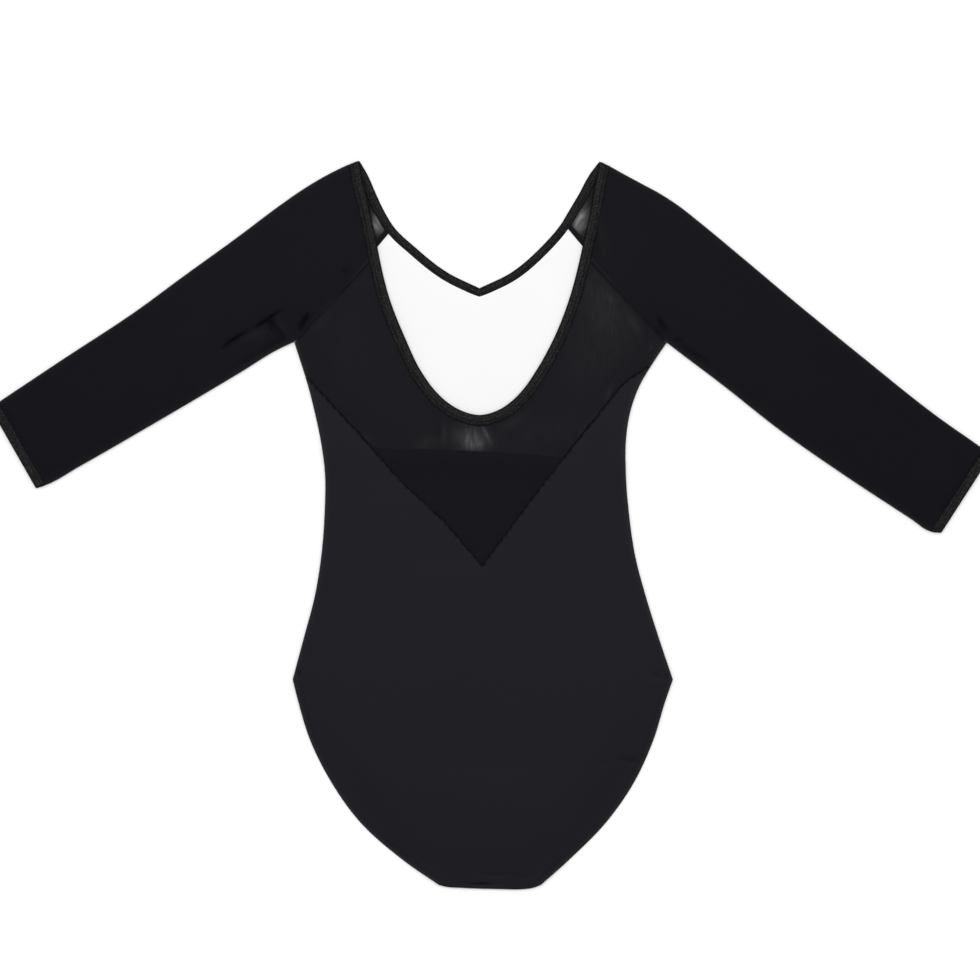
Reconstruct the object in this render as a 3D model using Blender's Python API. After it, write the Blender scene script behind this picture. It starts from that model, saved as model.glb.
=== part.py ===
"""A leotard with raglan sleeves, laid flat on its front, so that its back is on top.

The lower layer is the front: front_panel, the lining inside it, and the lower halves of
the sleeves. The upper layer is the back: back_panel, back_yoke and the upper halves of the
sleeves. neck_binding runs round the whole neck, over both shoulder folds.

Tables are in millimetres. x runs to the right from the centre of the body, and y runs up
from the crotch to the neck. The model is in metres, with its origin on the floor under the
middle of the garment.
"""

import math
from collections import namedtuple

import bmesh
import bpy
import numpy as np

MM = 0.001

# Wall of each cloth, and the space kept between pieces and between layers
CLOTH = 1.0
SEAM = 0.3
BINDING_CLOTH = 2.0
CUFF_CLOTH = 1.8

# Widths of the elastic bindings
BINDING_BACK = 10.4
BINDING_FRONT = 8.8

# The middle of the whole outline, seen from the centre of the crotch
CENTRE = (7.2, 338.6)

# How far the upper layer stands up away from the garment's edges
PUFF = 1.6
PUFF_REACH = 50.0

# The upper layer steps down below the lining, and again beside the front's leg edge
LINING_STEP = (4.0, 30.0)
LEG_STEP = (5.0, 15.0)

Point = namedtuple("Point", "x y")
Side = namedtuple("Side", "y left right")
Edge = namedtuple("Edge", "along out")
Sleeve = namedtuple("Sleeve", "turn tip wrist upper lower")
Crease = namedtuple("Crease", "start end width height")

# Side seams, from the underarms to the hips
SIDES = [
    Side(508.0, -175.3, 170.7),
    Side(490.0, -169.5, 158.6),
    Side(470.0, -163.2, 146.5),
    Side(445.0, -156.8, 137.2),
    Side(420.0, -151.4, 133.1),
    Side(390.0, -147.2, 132.7),
    Side(350.0, -147.3, 135.7),
    Side(310.0, -150.4, 141.5),
    Side(270.0, -157.0, 152.1),
    Side(235.0, -166.3, 163.1),
    Side(195.0, -177.0, 176.6),
]

# Leg edge of the back, from the hips to the corners of the crotch
BACK_LEG = [
    Side(195.0, -177.0, 176.6),
    Side(176.0, -172.2, 169.9),
    Side(139.0, -161.0, 158.6),
    Side(101.0, -142.1, 141.5),
    Side(64.0, -115.9, 116.2),
    Side(27.0, -74.4, 79.7),
    Side(4.0, -41.0, 53.9),
]

# Leg edge of the front, which is cut higher
FRONT_LEG = [
    Side(195.0, -177.0, 176.6),
    Side(184.0, -166.0, 166.0),
    Side(165.0, -149.0, 150.0),
    Side(140.0, -127.0, 128.0),
    Side(110.0, -101.0, 104.0),
    Side(80.0, -77.0, 83.0),
    Side(50.0, -57.0, 67.0),
    Side(25.0, -46.0, 58.0),
    Side(4.0, -41.0, 53.9),
]

# The crotch fold, from its left corner to its right corner
CROTCH = [
    Point(-41.0, 4.0),
    Point(-34.0, 2.2),
    Point(-21.0, 1.3),
    Point(16.0, 0.1),
    Point(37.0, 0.0),
    Point(46.0, 1.1),
    Point(53.9, 4.0),
]

# Opening edge of the back neck, from the left shoulder tip round to the right one
BACK_NECK = [
    Point(-115.0, 677.3),
    Point(-112.1, 660.3),
    Point(-106.7, 638.0),
    Point(-99.7, 605.4),
    Point(-96.0, 586.0),
    Point(-87.6, 551.5),
    Point(-72.4, 512.5),
    Point(-58.2, 482.7),
    Point(-45.1, 464.1),
    Point(-35.8, 454.8),
    Point(-21.4, 445.5),
    Point(-2.8, 440.8),
    Point(14.5, 445.5),
    Point(28.0, 454.8),
    Point(36.9, 464.1),
    Point(49.8, 482.7),
    Point(66.0, 512.5),
    Point(81.0, 551.5),
    Point(90.2, 587.0),
    Point(94.6, 607.5),
    Point(98.8, 625.9),
    Point(103.6, 653.0),
    Point(108.3, 676.6),
]

# Opening edge of the front neck, from each shoulder tip down to the point of the V
FRONT_NECK_LEFT = [
    Point(-115.0, 677.3),
    Point(-106.8, 663.1),
    Point(-99.5, 646.4),
    Point(-91.5, 629.6),
    Point(-83.3, 616.2),
    Point(-62.4, 596.1),
    Point(-33.9, 573.8),
    Point(-3.3, 558.6),
]
FRONT_NECK_RIGHT = [
    Point(-3.3, 558.6),
    Point(27.1, 573.8),
    Point(53.2, 596.1),
    Point(74.0, 620.5),
    Point(79.3, 629.6),
    Point(89.3, 646.4),
    Point(98.3, 663.1),
    Point(108.3, 676.6),
]

# Seam between the yoke and the back panel, from each side seam down to its point
YOKE_SEAM_LEFT_END = 477.0
YOKE_SEAM_RIGHT_END = 486.4
YOKE_SEAM_LEFT = [Point(-114.4, 421.8), Point(-72.5, 375.3), Point(-40.0, 345.0)]
YOKE_SEAM_POINT = Point(-0.5, 299.9)
YOKE_SEAM_RIGHT = [Point(34.4, 347.4), Point(76.3, 402.0), Point(111.1, 445.0), Point(132.1, 470.6)]

# Free lower edge of the lining
LINING_EDGE = [
    Point(-151.0, 410.5),
    Point(-99.0, 409.7),
    Point(-26.0, 407.9),
    Point(76.0, 401.6),
    Point(133.0, 397.5),
]

# Sleeves, laid along the line from the shoulder tip to the wrist: how far along that line,
# and how far out of it on its upper side. The second row is the end of the neck binding,
# and the last two rows are the seam and the edge of the cuff.
SLEEVE_LEFT = Sleeve(
    turn=1,
    tip=Point(-115.0, 677.3),
    wrist=Point(-458.0, 447.8),
    upper=[
        Edge(0.0, 0.0),
        Edge(10.2, 2.6),
        Edge(20.0, 4.2),
        Edge(40.0, 6.3),
        Edge(62.0, 7.1),
        Edge(85.0, 6.6),
        Edge(131.0, 4.1),
        Edge(200.0, 1.5),
        Edge(246.0, -0.6),
        Edge(335.0, -0.1),
        Edge(403.2, 0.0),
        Edge(412.7, 0.0),
    ],
    lower=[
        Edge(144.0, -106.6),
        Edge(159.0, -104.3),
        Edge(202.0, -102.4),
        Edge(288.6, -97.6),
        Edge(374.0, -91.9),
        Edge(409.8, -88.9),
        Edge(418.9, -86.4),
    ],
)
SLEEVE_RIGHT = Sleeve(
    turn=-1,
    tip=Point(108.3, 676.6),
    wrist=Point(472.4, 403.9),
    upper=[
        Edge(0.0, 0.0),
        Edge(10.6, 2.2),
        Edge(21.6, 3.7),
        Edge(42.5, 6.8),
        Edge(63.4, 9.9),
        Edge(85.7, 11.2),
        Edge(109.0, 10.6),
        Edge(158.0, 8.2),
        Edge(230.0, 4.2),
        Edge(302.0, 1.2),
        Edge(397.0, -1.4),
        Edge(445.6, 0.0),
        Edge(454.9, 0.0),
    ],
    lower=[
        Edge(151.7, -97.6),
        Edge(167.0, -97.8),
        Edge(214.0, -98.0),
        Edge(285.0, -99.7),
        Edge(353.0, -97.5),
        Edge(431.0, -92.7),
        Edge(452.0, -91.3),
        Edge(461.0, -86.4),
    ],
)

# Folds in the sleeves near the underarms
CREASES = [
    Crease(Point(-243.0, 501.0), Point(-218.0, 521.0), 7.0, 1.0),
    Crease(Point(-218.0, 521.0), Point(-193.0, 531.0), 7.0, 1.2),
    Crease(Point(-196.0, 527.0), Point(-181.0, 513.0), 6.0, 1.0),
    Crease(Point(162.0, 533.0), Point(169.0, 517.0), 6.0, 0.9),
]

# How many faces each stretch is divided into
SHOULDER_FACES = 5
SCOOP_FACES = (3, 8, 8, 3)
FRONT_SHOULDER_FACES = 4
FRONT_NECK_FACES = 6
RAGLAN_FACES = 6
FRONT_RAGLAN_FACES = 3
YOKE_SIDE_FACES = 2
YOKE_ARM_FACES = 9
BACK_SIDE_FACES = 12
BACK_LEG_FACES = 12
FRONT_SIDE_FACES = 8
FRONT_LEG_FACES = 9
LINING_FACES = 5
SLEEVE_FACES = 17
FOLD_FACES = 4
CUFF_FACES = 2


def pair(points):
    """Table rows as an array with a point in each row."""
    return np.array([[p[0], p[1]] for p in points], float)


def unit(vectors):
    return vectors / np.linalg.norm(vectors, axis=-1, keepdims=True)


def ease(x):
    """0 up to 0, 1 from 1 on, with a soft start and end between."""
    x = np.clip(x, 0.0, 1.0)
    return x * x * (3.0 - 2.0 * x)


def hermite(at, values, wanted):
    """A smooth curve through the values: cubic between rows, with the slopes of the rows beside."""
    slope = np.gradient(values, at, axis=0)
    k = np.clip(np.searchsorted(at, wanted, side="right") - 1, 0, len(at) - 2)
    span = (at[k + 1] - at[k])[:, None]
    w = (wanted - at[k])[:, None] / span
    start = (1 + 2 * w) * (1 - w) ** 2 * values[k] + w * (1 - w) ** 2 * span * slope[k]
    end = w * w * (3 - 2 * w) * values[k + 1] - w * w * (1 - w) * span * slope[k + 1]
    return start + end


def smooth(points, stops=None, faces=None):
    """Points along one smooth line through the rows, divided between the rows named in stops."""
    points = pair(points)
    stops = stops or [len(points) - 1]
    faces = faces if hasattr(faces, "__len__") else [faces]
    at = np.concatenate([[0.0], np.cumsum(np.linalg.norm(np.diff(points, axis=0), axis=1))])
    wanted = [at[:1]]
    for first, last, count in zip([0, *stops], stops, faces):
        wanted.append(np.linspace(at[first], at[last], count + 1)[1:])
    return hermite(at, points, np.concatenate(wanted))


def side_line(column, top, bottom, faces):
    """Points down the left or right side seam between two heights."""
    heights = np.array([row.y for row in SIDES])[::-1]
    values = np.array([[getattr(row, column)] for row in SIDES])[::-1]
    wanted = np.linspace(top, bottom, faces + 1)
    return np.column_stack([hermite(heights, values, wanted)[:, 0], wanted])


def leg_line(table, column, faces):
    return smooth([Point(getattr(row, column), row.y) for row in table], faces=faces)


def beside(line, distance):
    """The line moved to its left by a distance, mitred at its corners."""
    across = unit(np.diff(line, axis=0))[:, ::-1] * [-1.0, 1.0]
    before = np.vstack([across[:1], across])
    after = np.vstack([across, across[-1:]])
    mitre = (before + after) / (1.0 + np.sum(before * after, axis=1, keepdims=True))
    return line + mitre * distance


def lengths(line):
    """How far along the line each point is, as a share of its length."""
    at = np.concatenate([[0.0], np.cumsum(np.linalg.norm(np.diff(line, axis=0), axis=1))])
    return at / at[-1]


def patch(top, bottom, left, right):
    """A grid of points inside four lines. top and bottom run from left to right, left and
    right from top to bottom. Each point is the blend of the two pairs of lines, less the
    blend of the four corners."""
    u = (lengths(top) + lengths(bottom))[None, :, None] / 2
    v = (lengths(left) + lengths(right))[:, None, None] / 2
    down = (1 - v) * top[None] + v * bottom[None]
    over = (1 - u) * left[:, None] + u * right[:, None]
    above = (1 - u) * top[0] + u * top[-1]
    below = (1 - u) * bottom[0] + u * bottom[-1]
    return down + over - (1 - v) * above - v * below


def shrunk(grid, distance):
    """The grid with its border moved inwards."""
    grid = grid.copy()
    rows, columns = grid.shape[:2]
    border = [(0, j) for j in range(columns)]
    border += [(i, columns - 1) for i in range(1, rows)]
    border += [(rows - 1, j) for j in range(columns - 2, -1, -1)]
    border += [(i, 0) for i in range(rows - 2, 0, -1)]
    i, j = np.array(border).T
    loop = grid[i, j]
    following = np.roll(loop, -1, axis=0)
    area = np.sum(loop[:, 0] * following[:, 1] - following[:, 0] * loop[:, 1])
    closed = np.vstack([loop[-1:], loop, loop[:1]])
    grid[i, j] = beside(closed, math.copysign(distance, area))[1:-1]
    return grid


def distance_to(points, line):
    """How far each point is from a line of straight pieces."""
    start, step = line[:-1], np.diff(line, axis=0)
    offset = points[..., None, :] - start
    share = np.clip(np.sum(offset * step, axis=-1) / np.sum(step * step, axis=-1), 0.0, 1.0)
    return np.linalg.norm(offset - share[..., None] * step, axis=-1).min(axis=-1)


def material(name, colour, roughness):
    finish = bpy.data.materials.new(name)
    finish.use_nodes = True
    shader = finish.node_tree.nodes["Principled BSDF"]
    shader.inputs["Base Color"].default_value = (*colour, 1.0)
    shader.inputs["Roughness"].default_value = roughness
    shader.inputs["Metallic"].default_value = 0.0
    return finish


def sheet(name, grid, wall, finish, closed=False, around=False):
    """A cloth piece: the grid is the middle of its wall. closed joins its last column to its
    first one, and around joins its last row to its first one."""
    placed = grid.reshape(-1, 3) - [*CENTRE, 0.0]
    mesh = bpy.data.meshes.new(name)
    form = bmesh.new()
    verts = [form.verts.new(point * MM) for point in placed]
    rows, columns = grid.shape[:2]
    for i in range(rows if around else rows - 1):
        for j in range(columns if closed else columns - 1):
            below = (i + 1) % rows
            beyond = (j + 1) % columns
            corners = [(i, j), (below, j), (below, beyond), (i, beyond)]
            form.faces.new([verts[a * columns + b] for a, b in corners])
    bmesh.ops.recalc_face_normals(form, faces=form.faces)
    form.to_mesh(mesh)
    form.free()
    mesh.shade_smooth()
    piece = bpy.data.objects.new(name, mesh)
    bpy.context.collection.objects.link(piece)
    mesh.materials.append(finish)
    thicken = piece.modifiers.new("wall", "SOLIDIFY")
    thicken.thickness = wall * MM
    thicken.offset = 0.0
    thicken.use_even_offset = True
    settle(piece)


def settle(piece):
    """Keeps the thickened wall as the piece's mesh, with nothing left below the floor."""
    evaluated = piece.evaluated_get(bpy.context.evaluated_depsgraph_get())
    mesh = bpy.data.meshes.new_from_object(evaluated)
    places = np.empty(len(mesh.vertices) * 3)
    mesh.vertices.foreach_get("co", places)
    places[2::3] = np.maximum(places[2::3], 0.0)
    mesh.vertices.foreach_set("co", places)
    piece.modifiers.clear()
    piece.data = mesh


def lifted(grid, height):
    """The flat grid with each point at its height."""
    height = np.broadcast_to(height, grid.shape[:-1])
    return np.concatenate([grid, height[..., None]], axis=-1)


def sleeve_points(sleeve, rows):
    """Rows of a sleeve's table as points on the floor."""
    tip, wrist = np.array(sleeve.tip), np.array(sleeve.wrist)
    along = unit(wrist - tip)
    out = np.array([along[1], -along[0]]) * sleeve.turn
    return [Point(*(tip + along * row.along + out * row.out)) for row in rows]


def fold_direction(line, turn):
    """Which way is out of the garment along a folded edge."""
    ahead = unit(np.gradient(line, axis=0))
    return ahead[:, ::-1] * [1.0, -1.0] * turn


def turned(near, far, out, near_height, far_height):
    """Rows of points that carry an edge of the upper layer round a fold to the lower layer."""
    angle = np.linspace(0.0, math.pi, FOLD_FACES + 1)[1:-1]
    share = (angle / math.pi)[None, :, None]
    radius = (near_height - far_height) / 2
    flat = near[:, None] * (1 - share) + far[:, None] * share
    flat = flat + out[:, None] * (radius[:, None] * np.sin(angle))[..., None]
    height = far_height[:, None] + radius[:, None] * (1 + np.cos(angle))
    return lifted(flat, height)


for thing in list(bpy.data.objects):
    bpy.data.objects.remove(thing)

HALF = SEAM / 2
LOW = CLOTH / 2
SEAT = CLOTH + SEAM
SLEEVE_HIGH = LOW + 2 * SEAT

# The seam lines that neighbours share
underarm_left = np.array([SIDES[0].left, SIDES[0].y])
underarm_right = np.array([SIDES[0].right, SIDES[0].y])
upper_left = sleeve_points(SLEEVE_LEFT, SLEEVE_LEFT.upper)
upper_right = sleeve_points(SLEEVE_RIGHT, SLEEVE_RIGHT.upper)

back_edge = smooth(
    BACK_NECK,
    stops=[4, 6, 11, 16, 18, 22],
    faces=[SHOULDER_FACES, *SCOOP_FACES, SHOULDER_FACES],
)
back_seam = beside(back_edge, -BINDING_BACK)
back_seam[0], back_seam[-1] = upper_left[1], upper_right[1]

front_left = smooth(FRONT_NECK_LEFT, stops=[4, 7], faces=[FRONT_SHOULDER_FACES, FRONT_NECK_FACES])
front_right = smooth(FRONT_NECK_RIGHT, stops=[3, 7], faces=[FRONT_NECK_FACES, FRONT_SHOULDER_FACES])
front_edge = np.vstack([front_left, front_right[1:]])
front_seam = beside(front_edge, -BINDING_FRONT)
front_seam[0], front_seam[-1] = upper_left[1], upper_right[1]

back_scoop = back_seam[SHOULDER_FACES:-SHOULDER_FACES]
back_raglan_left = np.linspace(back_scoop[0], underarm_left, RAGLAN_FACES + 1)
back_raglan_right = np.linspace(back_scoop[-1], underarm_right, RAGLAN_FACES + 1)
front_scoop = front_seam[FRONT_SHOULDER_FACES:-FRONT_SHOULDER_FACES]
front_raglan_left = np.linspace(front_scoop[0], underarm_left, FRONT_RAGLAN_FACES + 1)
front_raglan_right = np.linspace(front_scoop[-1], underarm_right, FRONT_RAGLAN_FACES + 1)

yoke_side_left = side_line("left", SIDES[0].y, YOKE_SEAM_LEFT_END, YOKE_SIDE_FACES)
yoke_side_right = side_line("right", SIDES[0].y, YOKE_SEAM_RIGHT_END, YOKE_SIDE_FACES)
yoke_arm_left = smooth([yoke_side_left[-1], *YOKE_SEAM_LEFT, YOKE_SEAM_POINT], faces=YOKE_ARM_FACES)
yoke_arm_right = smooth([YOKE_SEAM_POINT, *YOKE_SEAM_RIGHT, yoke_side_right[-1]], faces=YOKE_ARM_FACES)
yoke_seam = np.vstack([yoke_arm_left, yoke_arm_right[1:]])

hip = SIDES[-1].y
leg_left = leg_line(FRONT_LEG, "left", FRONT_LEG_FACES)
leg_right = leg_line(FRONT_LEG, "right", FRONT_LEG_FACES)
outline = [
    side_line("left", SIDES[0].y, hip, BACK_SIDE_FACES),
    side_line("right", SIDES[0].y, hip, BACK_SIDE_FACES),
    leg_line(BACK_LEG, "left", BACK_LEG_FACES),
    leg_line(BACK_LEG, "right", BACK_LEG_FACES),
    pair(CROTCH),
    back_edge,
    pair(upper_left),
    pair(upper_right),
    pair(sleeve_points(SLEEVE_LEFT, SLEEVE_LEFT.lower)),
    pair(sleeve_points(SLEEVE_RIGHT, SLEEVE_RIGHT.lower)),
]


def puff(points):
    """How far the upper layer is lifted: nothing at the garment's edges, more inside."""
    near = np.min([distance_to(points, line) for line in outline], axis=0)
    rise = PUFF * ease(near / PUFF_REACH)
    for crease in CREASES:
        away = distance_to(points, pair([crease.start, crease.end]))
        rise = rise + crease.height * np.exp(-((away / crease.width) ** 2)) * ease(near / crease.width)
    return rise


def back_height(points):
    """The middle of the upper layer on the body: over the front, over the lining as well
    above its lower edge, and down to the floor outside the front's leg edge."""
    x, y = points[..., 0], points[..., 1]
    edge = pair(LINING_EDGE)
    below = np.interp(x, edge[:, 0], edge[:, 1]) - y
    lined = ease((LINING_STEP[1] - below) / (LINING_STEP[1] - LINING_STEP[0]))
    left = np.interp(y, leg_left[::-1, 1], leg_left[::-1, 0])
    right = np.interp(y, leg_right[::-1, 1], leg_right[::-1, 0])
    outside = ((x < left) | (x > right)) & (y < hip)
    away = np.minimum(distance_to(points, leg_left), distance_to(points, leg_right)) * outside
    seated = 1 - ease((away - LEG_STEP[0]) / (LEG_STEP[1] - LEG_STEP[0]))
    return LOW + SEAT * seated + SEAT * lined + puff(points)


def body_panel(name, top, sides, legs, bottom_rows, height, finish):
    """A panel from its top line down both sides and leg edges to the crotch."""
    left = np.vstack([sides[0], legs[0][1:]])
    right = np.vstack([sides[1], legs[1][1:]])
    crotch = smooth(bottom_rows, faces=len(top) - 1)
    grid = shrunk(patch(top, crotch, left, right), HALF)
    return sheet(name, lifted(grid, height(grid) if callable(height) else height), CLOTH, finish)


def make_front_panel():
    top = np.vstack([front_raglan_left[::-1], front_scoop[1:-1], front_raglan_right])
    sides = [side_line(c, SIDES[0].y, hip, FRONT_SIDE_FACES) for c in ("left", "right")]
    finish = material("front_cloth", (0.016, 0.015, 0.019), 0.62)
    body_panel("front_panel", top, sides, [leg_left, leg_right], CROTCH, LOW, finish)


def make_front_lining():
    top = np.vstack([front_raglan_left[::-1], front_scoop[1:-1], front_raglan_right])
    left = side_line("left", SIDES[0].y, LINING_EDGE[0].y, LINING_FACES)
    right = side_line("right", SIDES[0].y, LINING_EDGE[-1].y, LINING_FACES)
    bottom = smooth([left[-1], *LINING_EDGE[1:-1], right[-1]], faces=len(top) - 1)
    grid = shrunk(patch(top, bottom, left, right), HALF)
    finish = material("lining_cloth", (0.9, 0.9, 0.9), 0.8)
    sheet("front_lining", lifted(grid, LOW + SEAT), CLOTH, finish)


def make_back_panel():
    sides = [
        side_line("left", YOKE_SEAM_LEFT_END, hip, BACK_SIDE_FACES),
        side_line("right", YOKE_SEAM_RIGHT_END, hip, BACK_SIDE_FACES),
    ]
    legs = [leg_line(BACK_LEG, c, BACK_LEG_FACES) for c in ("left", "right")]
    finish = material("back_cloth", (0.016, 0.015, 0.019), 0.6)
    body_panel("back_panel", yoke_seam, sides, legs, CROTCH, back_height, finish)


def make_back_yoke():
    bottom = np.vstack([yoke_side_left, yoke_seam[1:-1], yoke_side_right[::-1]])
    grid = patch(back_scoop, bottom, back_raglan_left, back_raglan_right)
    grid = shrunk(grid, HALF)
    finish = material("yoke_mesh", (0.014, 0.013, 0.017), 0.7)
    sheet("back_yoke", lifted(grid, back_height(grid)), CLOTH, finish)


def make_sleeve(name, sleeve, back_line, front_line):
    """A flattened tube. back_line and front_line run from the fold at the shoulder to the
    underarm, on the upper and the lower layer."""
    turn = sleeve.turn
    cuff = len(sleeve.upper) - 2
    upper = smooth(sleeve_points(sleeve, sleeve.upper), stops=[1, cuff], faces=[1, SLEEVE_FACES])[1:]
    lower_rows = sleeve_points(sleeve, sleeve.lower)
    lower = smooth(lower_rows, stops=[len(lower_rows) - 2], faces=[SLEEVE_FACES])
    upper_out = fold_direction(upper, turn)
    lower_out = -fold_direction(lower, turn)
    lower_out[0] = unit(back_line[-1] - back_line[-2])
    upper_out[-1] = unit(upper[-1] - lower[-1])
    lower_out[-1] = -upper_out[-1]
    inset = SEAT + LOW
    ends = upper - upper_out * inset, lower - lower_out * inset
    layers = []
    for line in (back_line, front_line):
        line = line.copy()
        line[0], line[-1] = ends[0][0], ends[1][0]
        line = beside(line, HALF * -turn)
        left, right = ends[0].copy(), ends[1].copy()
        left[0], right[0] = line[0], line[-1]
        wrist = np.linspace(left[-1], right[-1], len(line))
        grid = patch(line, wrist, left, right)
        grid[-1] -= unit(grid[-1] - grid[-2]) * HALF
        layers.append(grid)
    near, far = layers
    high = SLEEVE_HIGH + puff(near)
    high[:, 0] = high[:, -1] = SLEEVE_HIGH
    low = np.full(len(upper), LOW)
    ring = np.concatenate(
        [
            lifted(near, high),
            turned(near[:, -1], far[:, -1], lower_out, high[:, -1], low),
            lifted(far[:, ::-1], LOW),
            turned(near[:, 0], far[:, 0], upper_out, high[:, 0], low)[:, ::-1],
        ],
        axis=1,
    )
    finish = material(name + "_mesh", (0.011, 0.011, 0.014), 0.7)
    sheet(name, ring, CLOTH, finish, closed=True)


def make_cuff(name, sleeve):
    """A short flattened tube of elastic at the end of a sleeve."""
    lines = []
    for rows in (sleeve.upper, sleeve.lower):
        points = sleeve_points(sleeve, rows)
        last = len(points) - 1
        line = smooth(points, stops=[last - 1, last], faces=[1, CUFF_FACES])[1:]
        line[0] += unit(line[1] - line[0]) * HALF
        lines.append(line)
    upper, lower = lines
    upper_out = unit(upper - lower)
    lower_out = -upper_out
    low, high = CUFF_CLOTH / 2, SLEEVE_HIGH
    inset = (high - low) / 2 + CUFF_CLOTH / 2
    top, bottom = upper - upper_out * inset, lower - lower_out * inset
    share = np.linspace(0.0, 1.0, RAGLAN_FACES + 1)[None, :, None]
    layer = top[:, None] * (1 - share) + bottom[:, None] * share
    ones = np.ones(len(upper))
    ring = np.concatenate(
        [
            lifted(layer, high),
            turned(bottom, bottom, lower_out, high * ones, low * ones),
            lifted(layer[:, ::-1], low),
            turned(top, top, upper_out, high * ones, low * ones)[:, ::-1],
        ],
        axis=1,
    )
    finish = material(name + "_elastic", (0.012, 0.012, 0.013), 0.75)
    sheet(name, ring, CUFF_CLOTH, finish, closed=True)


def make_neck_binding():
    """A ring of elastic: along the back neck edge, down over the right shoulder fold, along
    the front neck edge, and up over the left shoulder fold."""
    low = BINDING_CLOTH / 2
    high = 2 * SEAT + low
    radius = (high - low) / 2
    inset = radius + BINDING_CLOTH / 2
    bands = []
    for edge, width in ((back_edge, BINDING_BACK), (front_edge, BINDING_FRONT)):
        outer = beside(edge, HALF - width)
        inner = edge.copy()
        for end, fold in ((0, upper_left), (-1, upper_right)):
            following = 1 if end == 0 else -2
            along = unit(np.array(fold[1]) - np.array(fold[0]))
            out = np.array([along[1], -along[0]]) * (1 if end == 0 else -1)
            down = unit(edge[following] - edge[end])
            inner[end] = edge[end] + down * inset / abs(np.dot(down, out))
            outer[end] = np.array(fold[1]) - along * HALF - out * inset
        bands.append(np.stack([inner, outer], axis=1))
    back, front = bands
    rows = [lifted(back, high)]
    for end, fold, turn in ((-1, upper_right, -1), (0, upper_left, 1)):
        along = unit(np.array(fold[1]) - np.array(fold[0]))
        out = np.array([along[1], -along[0]]) * turn
        levels = np.full(2, high), np.full(2, low)
        turn_over = turned(back[end], front[end], np.tile(out, (2, 1)), *levels)
        rows.append(turn_over.transpose(1, 0, 2))
    ring = np.concatenate([rows[0], rows[1], lifted(front[::-1], low), rows[2][::-1]])
    finish = material("neck_elastic", (0.013, 0.013, 0.013), 0.75)
    sheet("neck_binding", ring, BINDING_CLOTH, finish, around=True)


make_front_panel()
make_front_lining()
make_back_panel()
make_back_yoke()
make_sleeve(
    "sleeve_left",
    SLEEVE_LEFT,
    np.vstack([back_seam[:SHOULDER_FACES], back_raglan_left]),
    np.vstack([front_seam[:FRONT_SHOULDER_FACES], front_raglan_left]),
)
make_sleeve(
    "sleeve_right",
    SLEEVE_RIGHT,
    np.vstack([back_seam[: -SHOULDER_FACES - 1 : -1], back_raglan_right]),
    np.vstack([front_seam[: -FRONT_SHOULDER_FACES - 1 : -1], front_raglan_right]),
)
make_cuff("cuff_left", SLEEVE_LEFT)
make_cuff("cuff_right", SLEEVE_RIGHT)
make_neck_binding()
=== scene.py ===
"""A leotard with raglan sleeves, laid flat on its front, so that its back is on top.

Tables are in millimetres: x runs to the right from the centre of the body, y up from the
crotch to the neck, and z up from the floor. The garment follows in the order of its making:
front, lining, back, yoke, sleeves, neck elastic, cuffs, and then the sewing.
"""

import math
from collections import namedtuple

import bpy
import numpy as np
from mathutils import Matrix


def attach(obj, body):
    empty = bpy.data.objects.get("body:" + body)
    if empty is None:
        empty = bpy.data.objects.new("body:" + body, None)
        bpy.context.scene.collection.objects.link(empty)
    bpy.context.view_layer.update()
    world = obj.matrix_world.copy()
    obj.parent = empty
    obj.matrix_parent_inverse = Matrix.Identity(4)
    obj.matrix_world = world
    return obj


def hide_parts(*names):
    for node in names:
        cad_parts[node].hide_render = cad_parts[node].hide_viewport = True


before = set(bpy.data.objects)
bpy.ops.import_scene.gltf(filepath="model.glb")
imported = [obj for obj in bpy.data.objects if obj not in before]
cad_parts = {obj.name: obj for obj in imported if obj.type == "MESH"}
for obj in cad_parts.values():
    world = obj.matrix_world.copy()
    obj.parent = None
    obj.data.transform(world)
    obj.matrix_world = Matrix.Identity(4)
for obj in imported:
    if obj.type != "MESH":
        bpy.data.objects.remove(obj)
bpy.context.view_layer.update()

# The floor, the light and the camera. The garment lies on a pale smooth table in a white
# studio, under a wide soft light beyond its neck, and is seen from straight above.
MM = 0.001
EYE_HEIGHT = 2.5
VIEW_WIDTH = 0.9114
VIEW_CENTRE = (-0.0007, 0.0325)
FLOOR_SIZE = 8.0
FLOOR_DROP = 0.0001
STUDIO_LIGHT = 0.80
KEY_PLACE = (-0.05, 0.75, 2.4)
KEY_SIZE = 1.1
KEY_POWER = 23.0
TABLE_SHADE = (0.945, 0.945, 0.947)
TABLE_LIGHT = (0.955, 0.955, 0.955)


class Wire:
    """One output of a shader node. Sums, differences, products and quotients of wires and
    numbers add Math nodes."""

    def __init__(self, finish, socket):
        self.finish = finish
        self.socket = socket

    def __add__(self, other):
        return self.finish.maths("ADD", self, other)

    def __sub__(self, other):
        return self.finish.maths("SUBTRACT", self, other)

    def __mul__(self, other):
        return self.finish.maths("MULTIPLY", self, other)

    def __truediv__(self, other):
        return self.finish.maths("DIVIDE", self, other)

    def __rsub__(self, other):
        return self.finish.maths("SUBTRACT", other, self)

    __radd__ = __add__
    __rmul__ = __mul__


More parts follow.
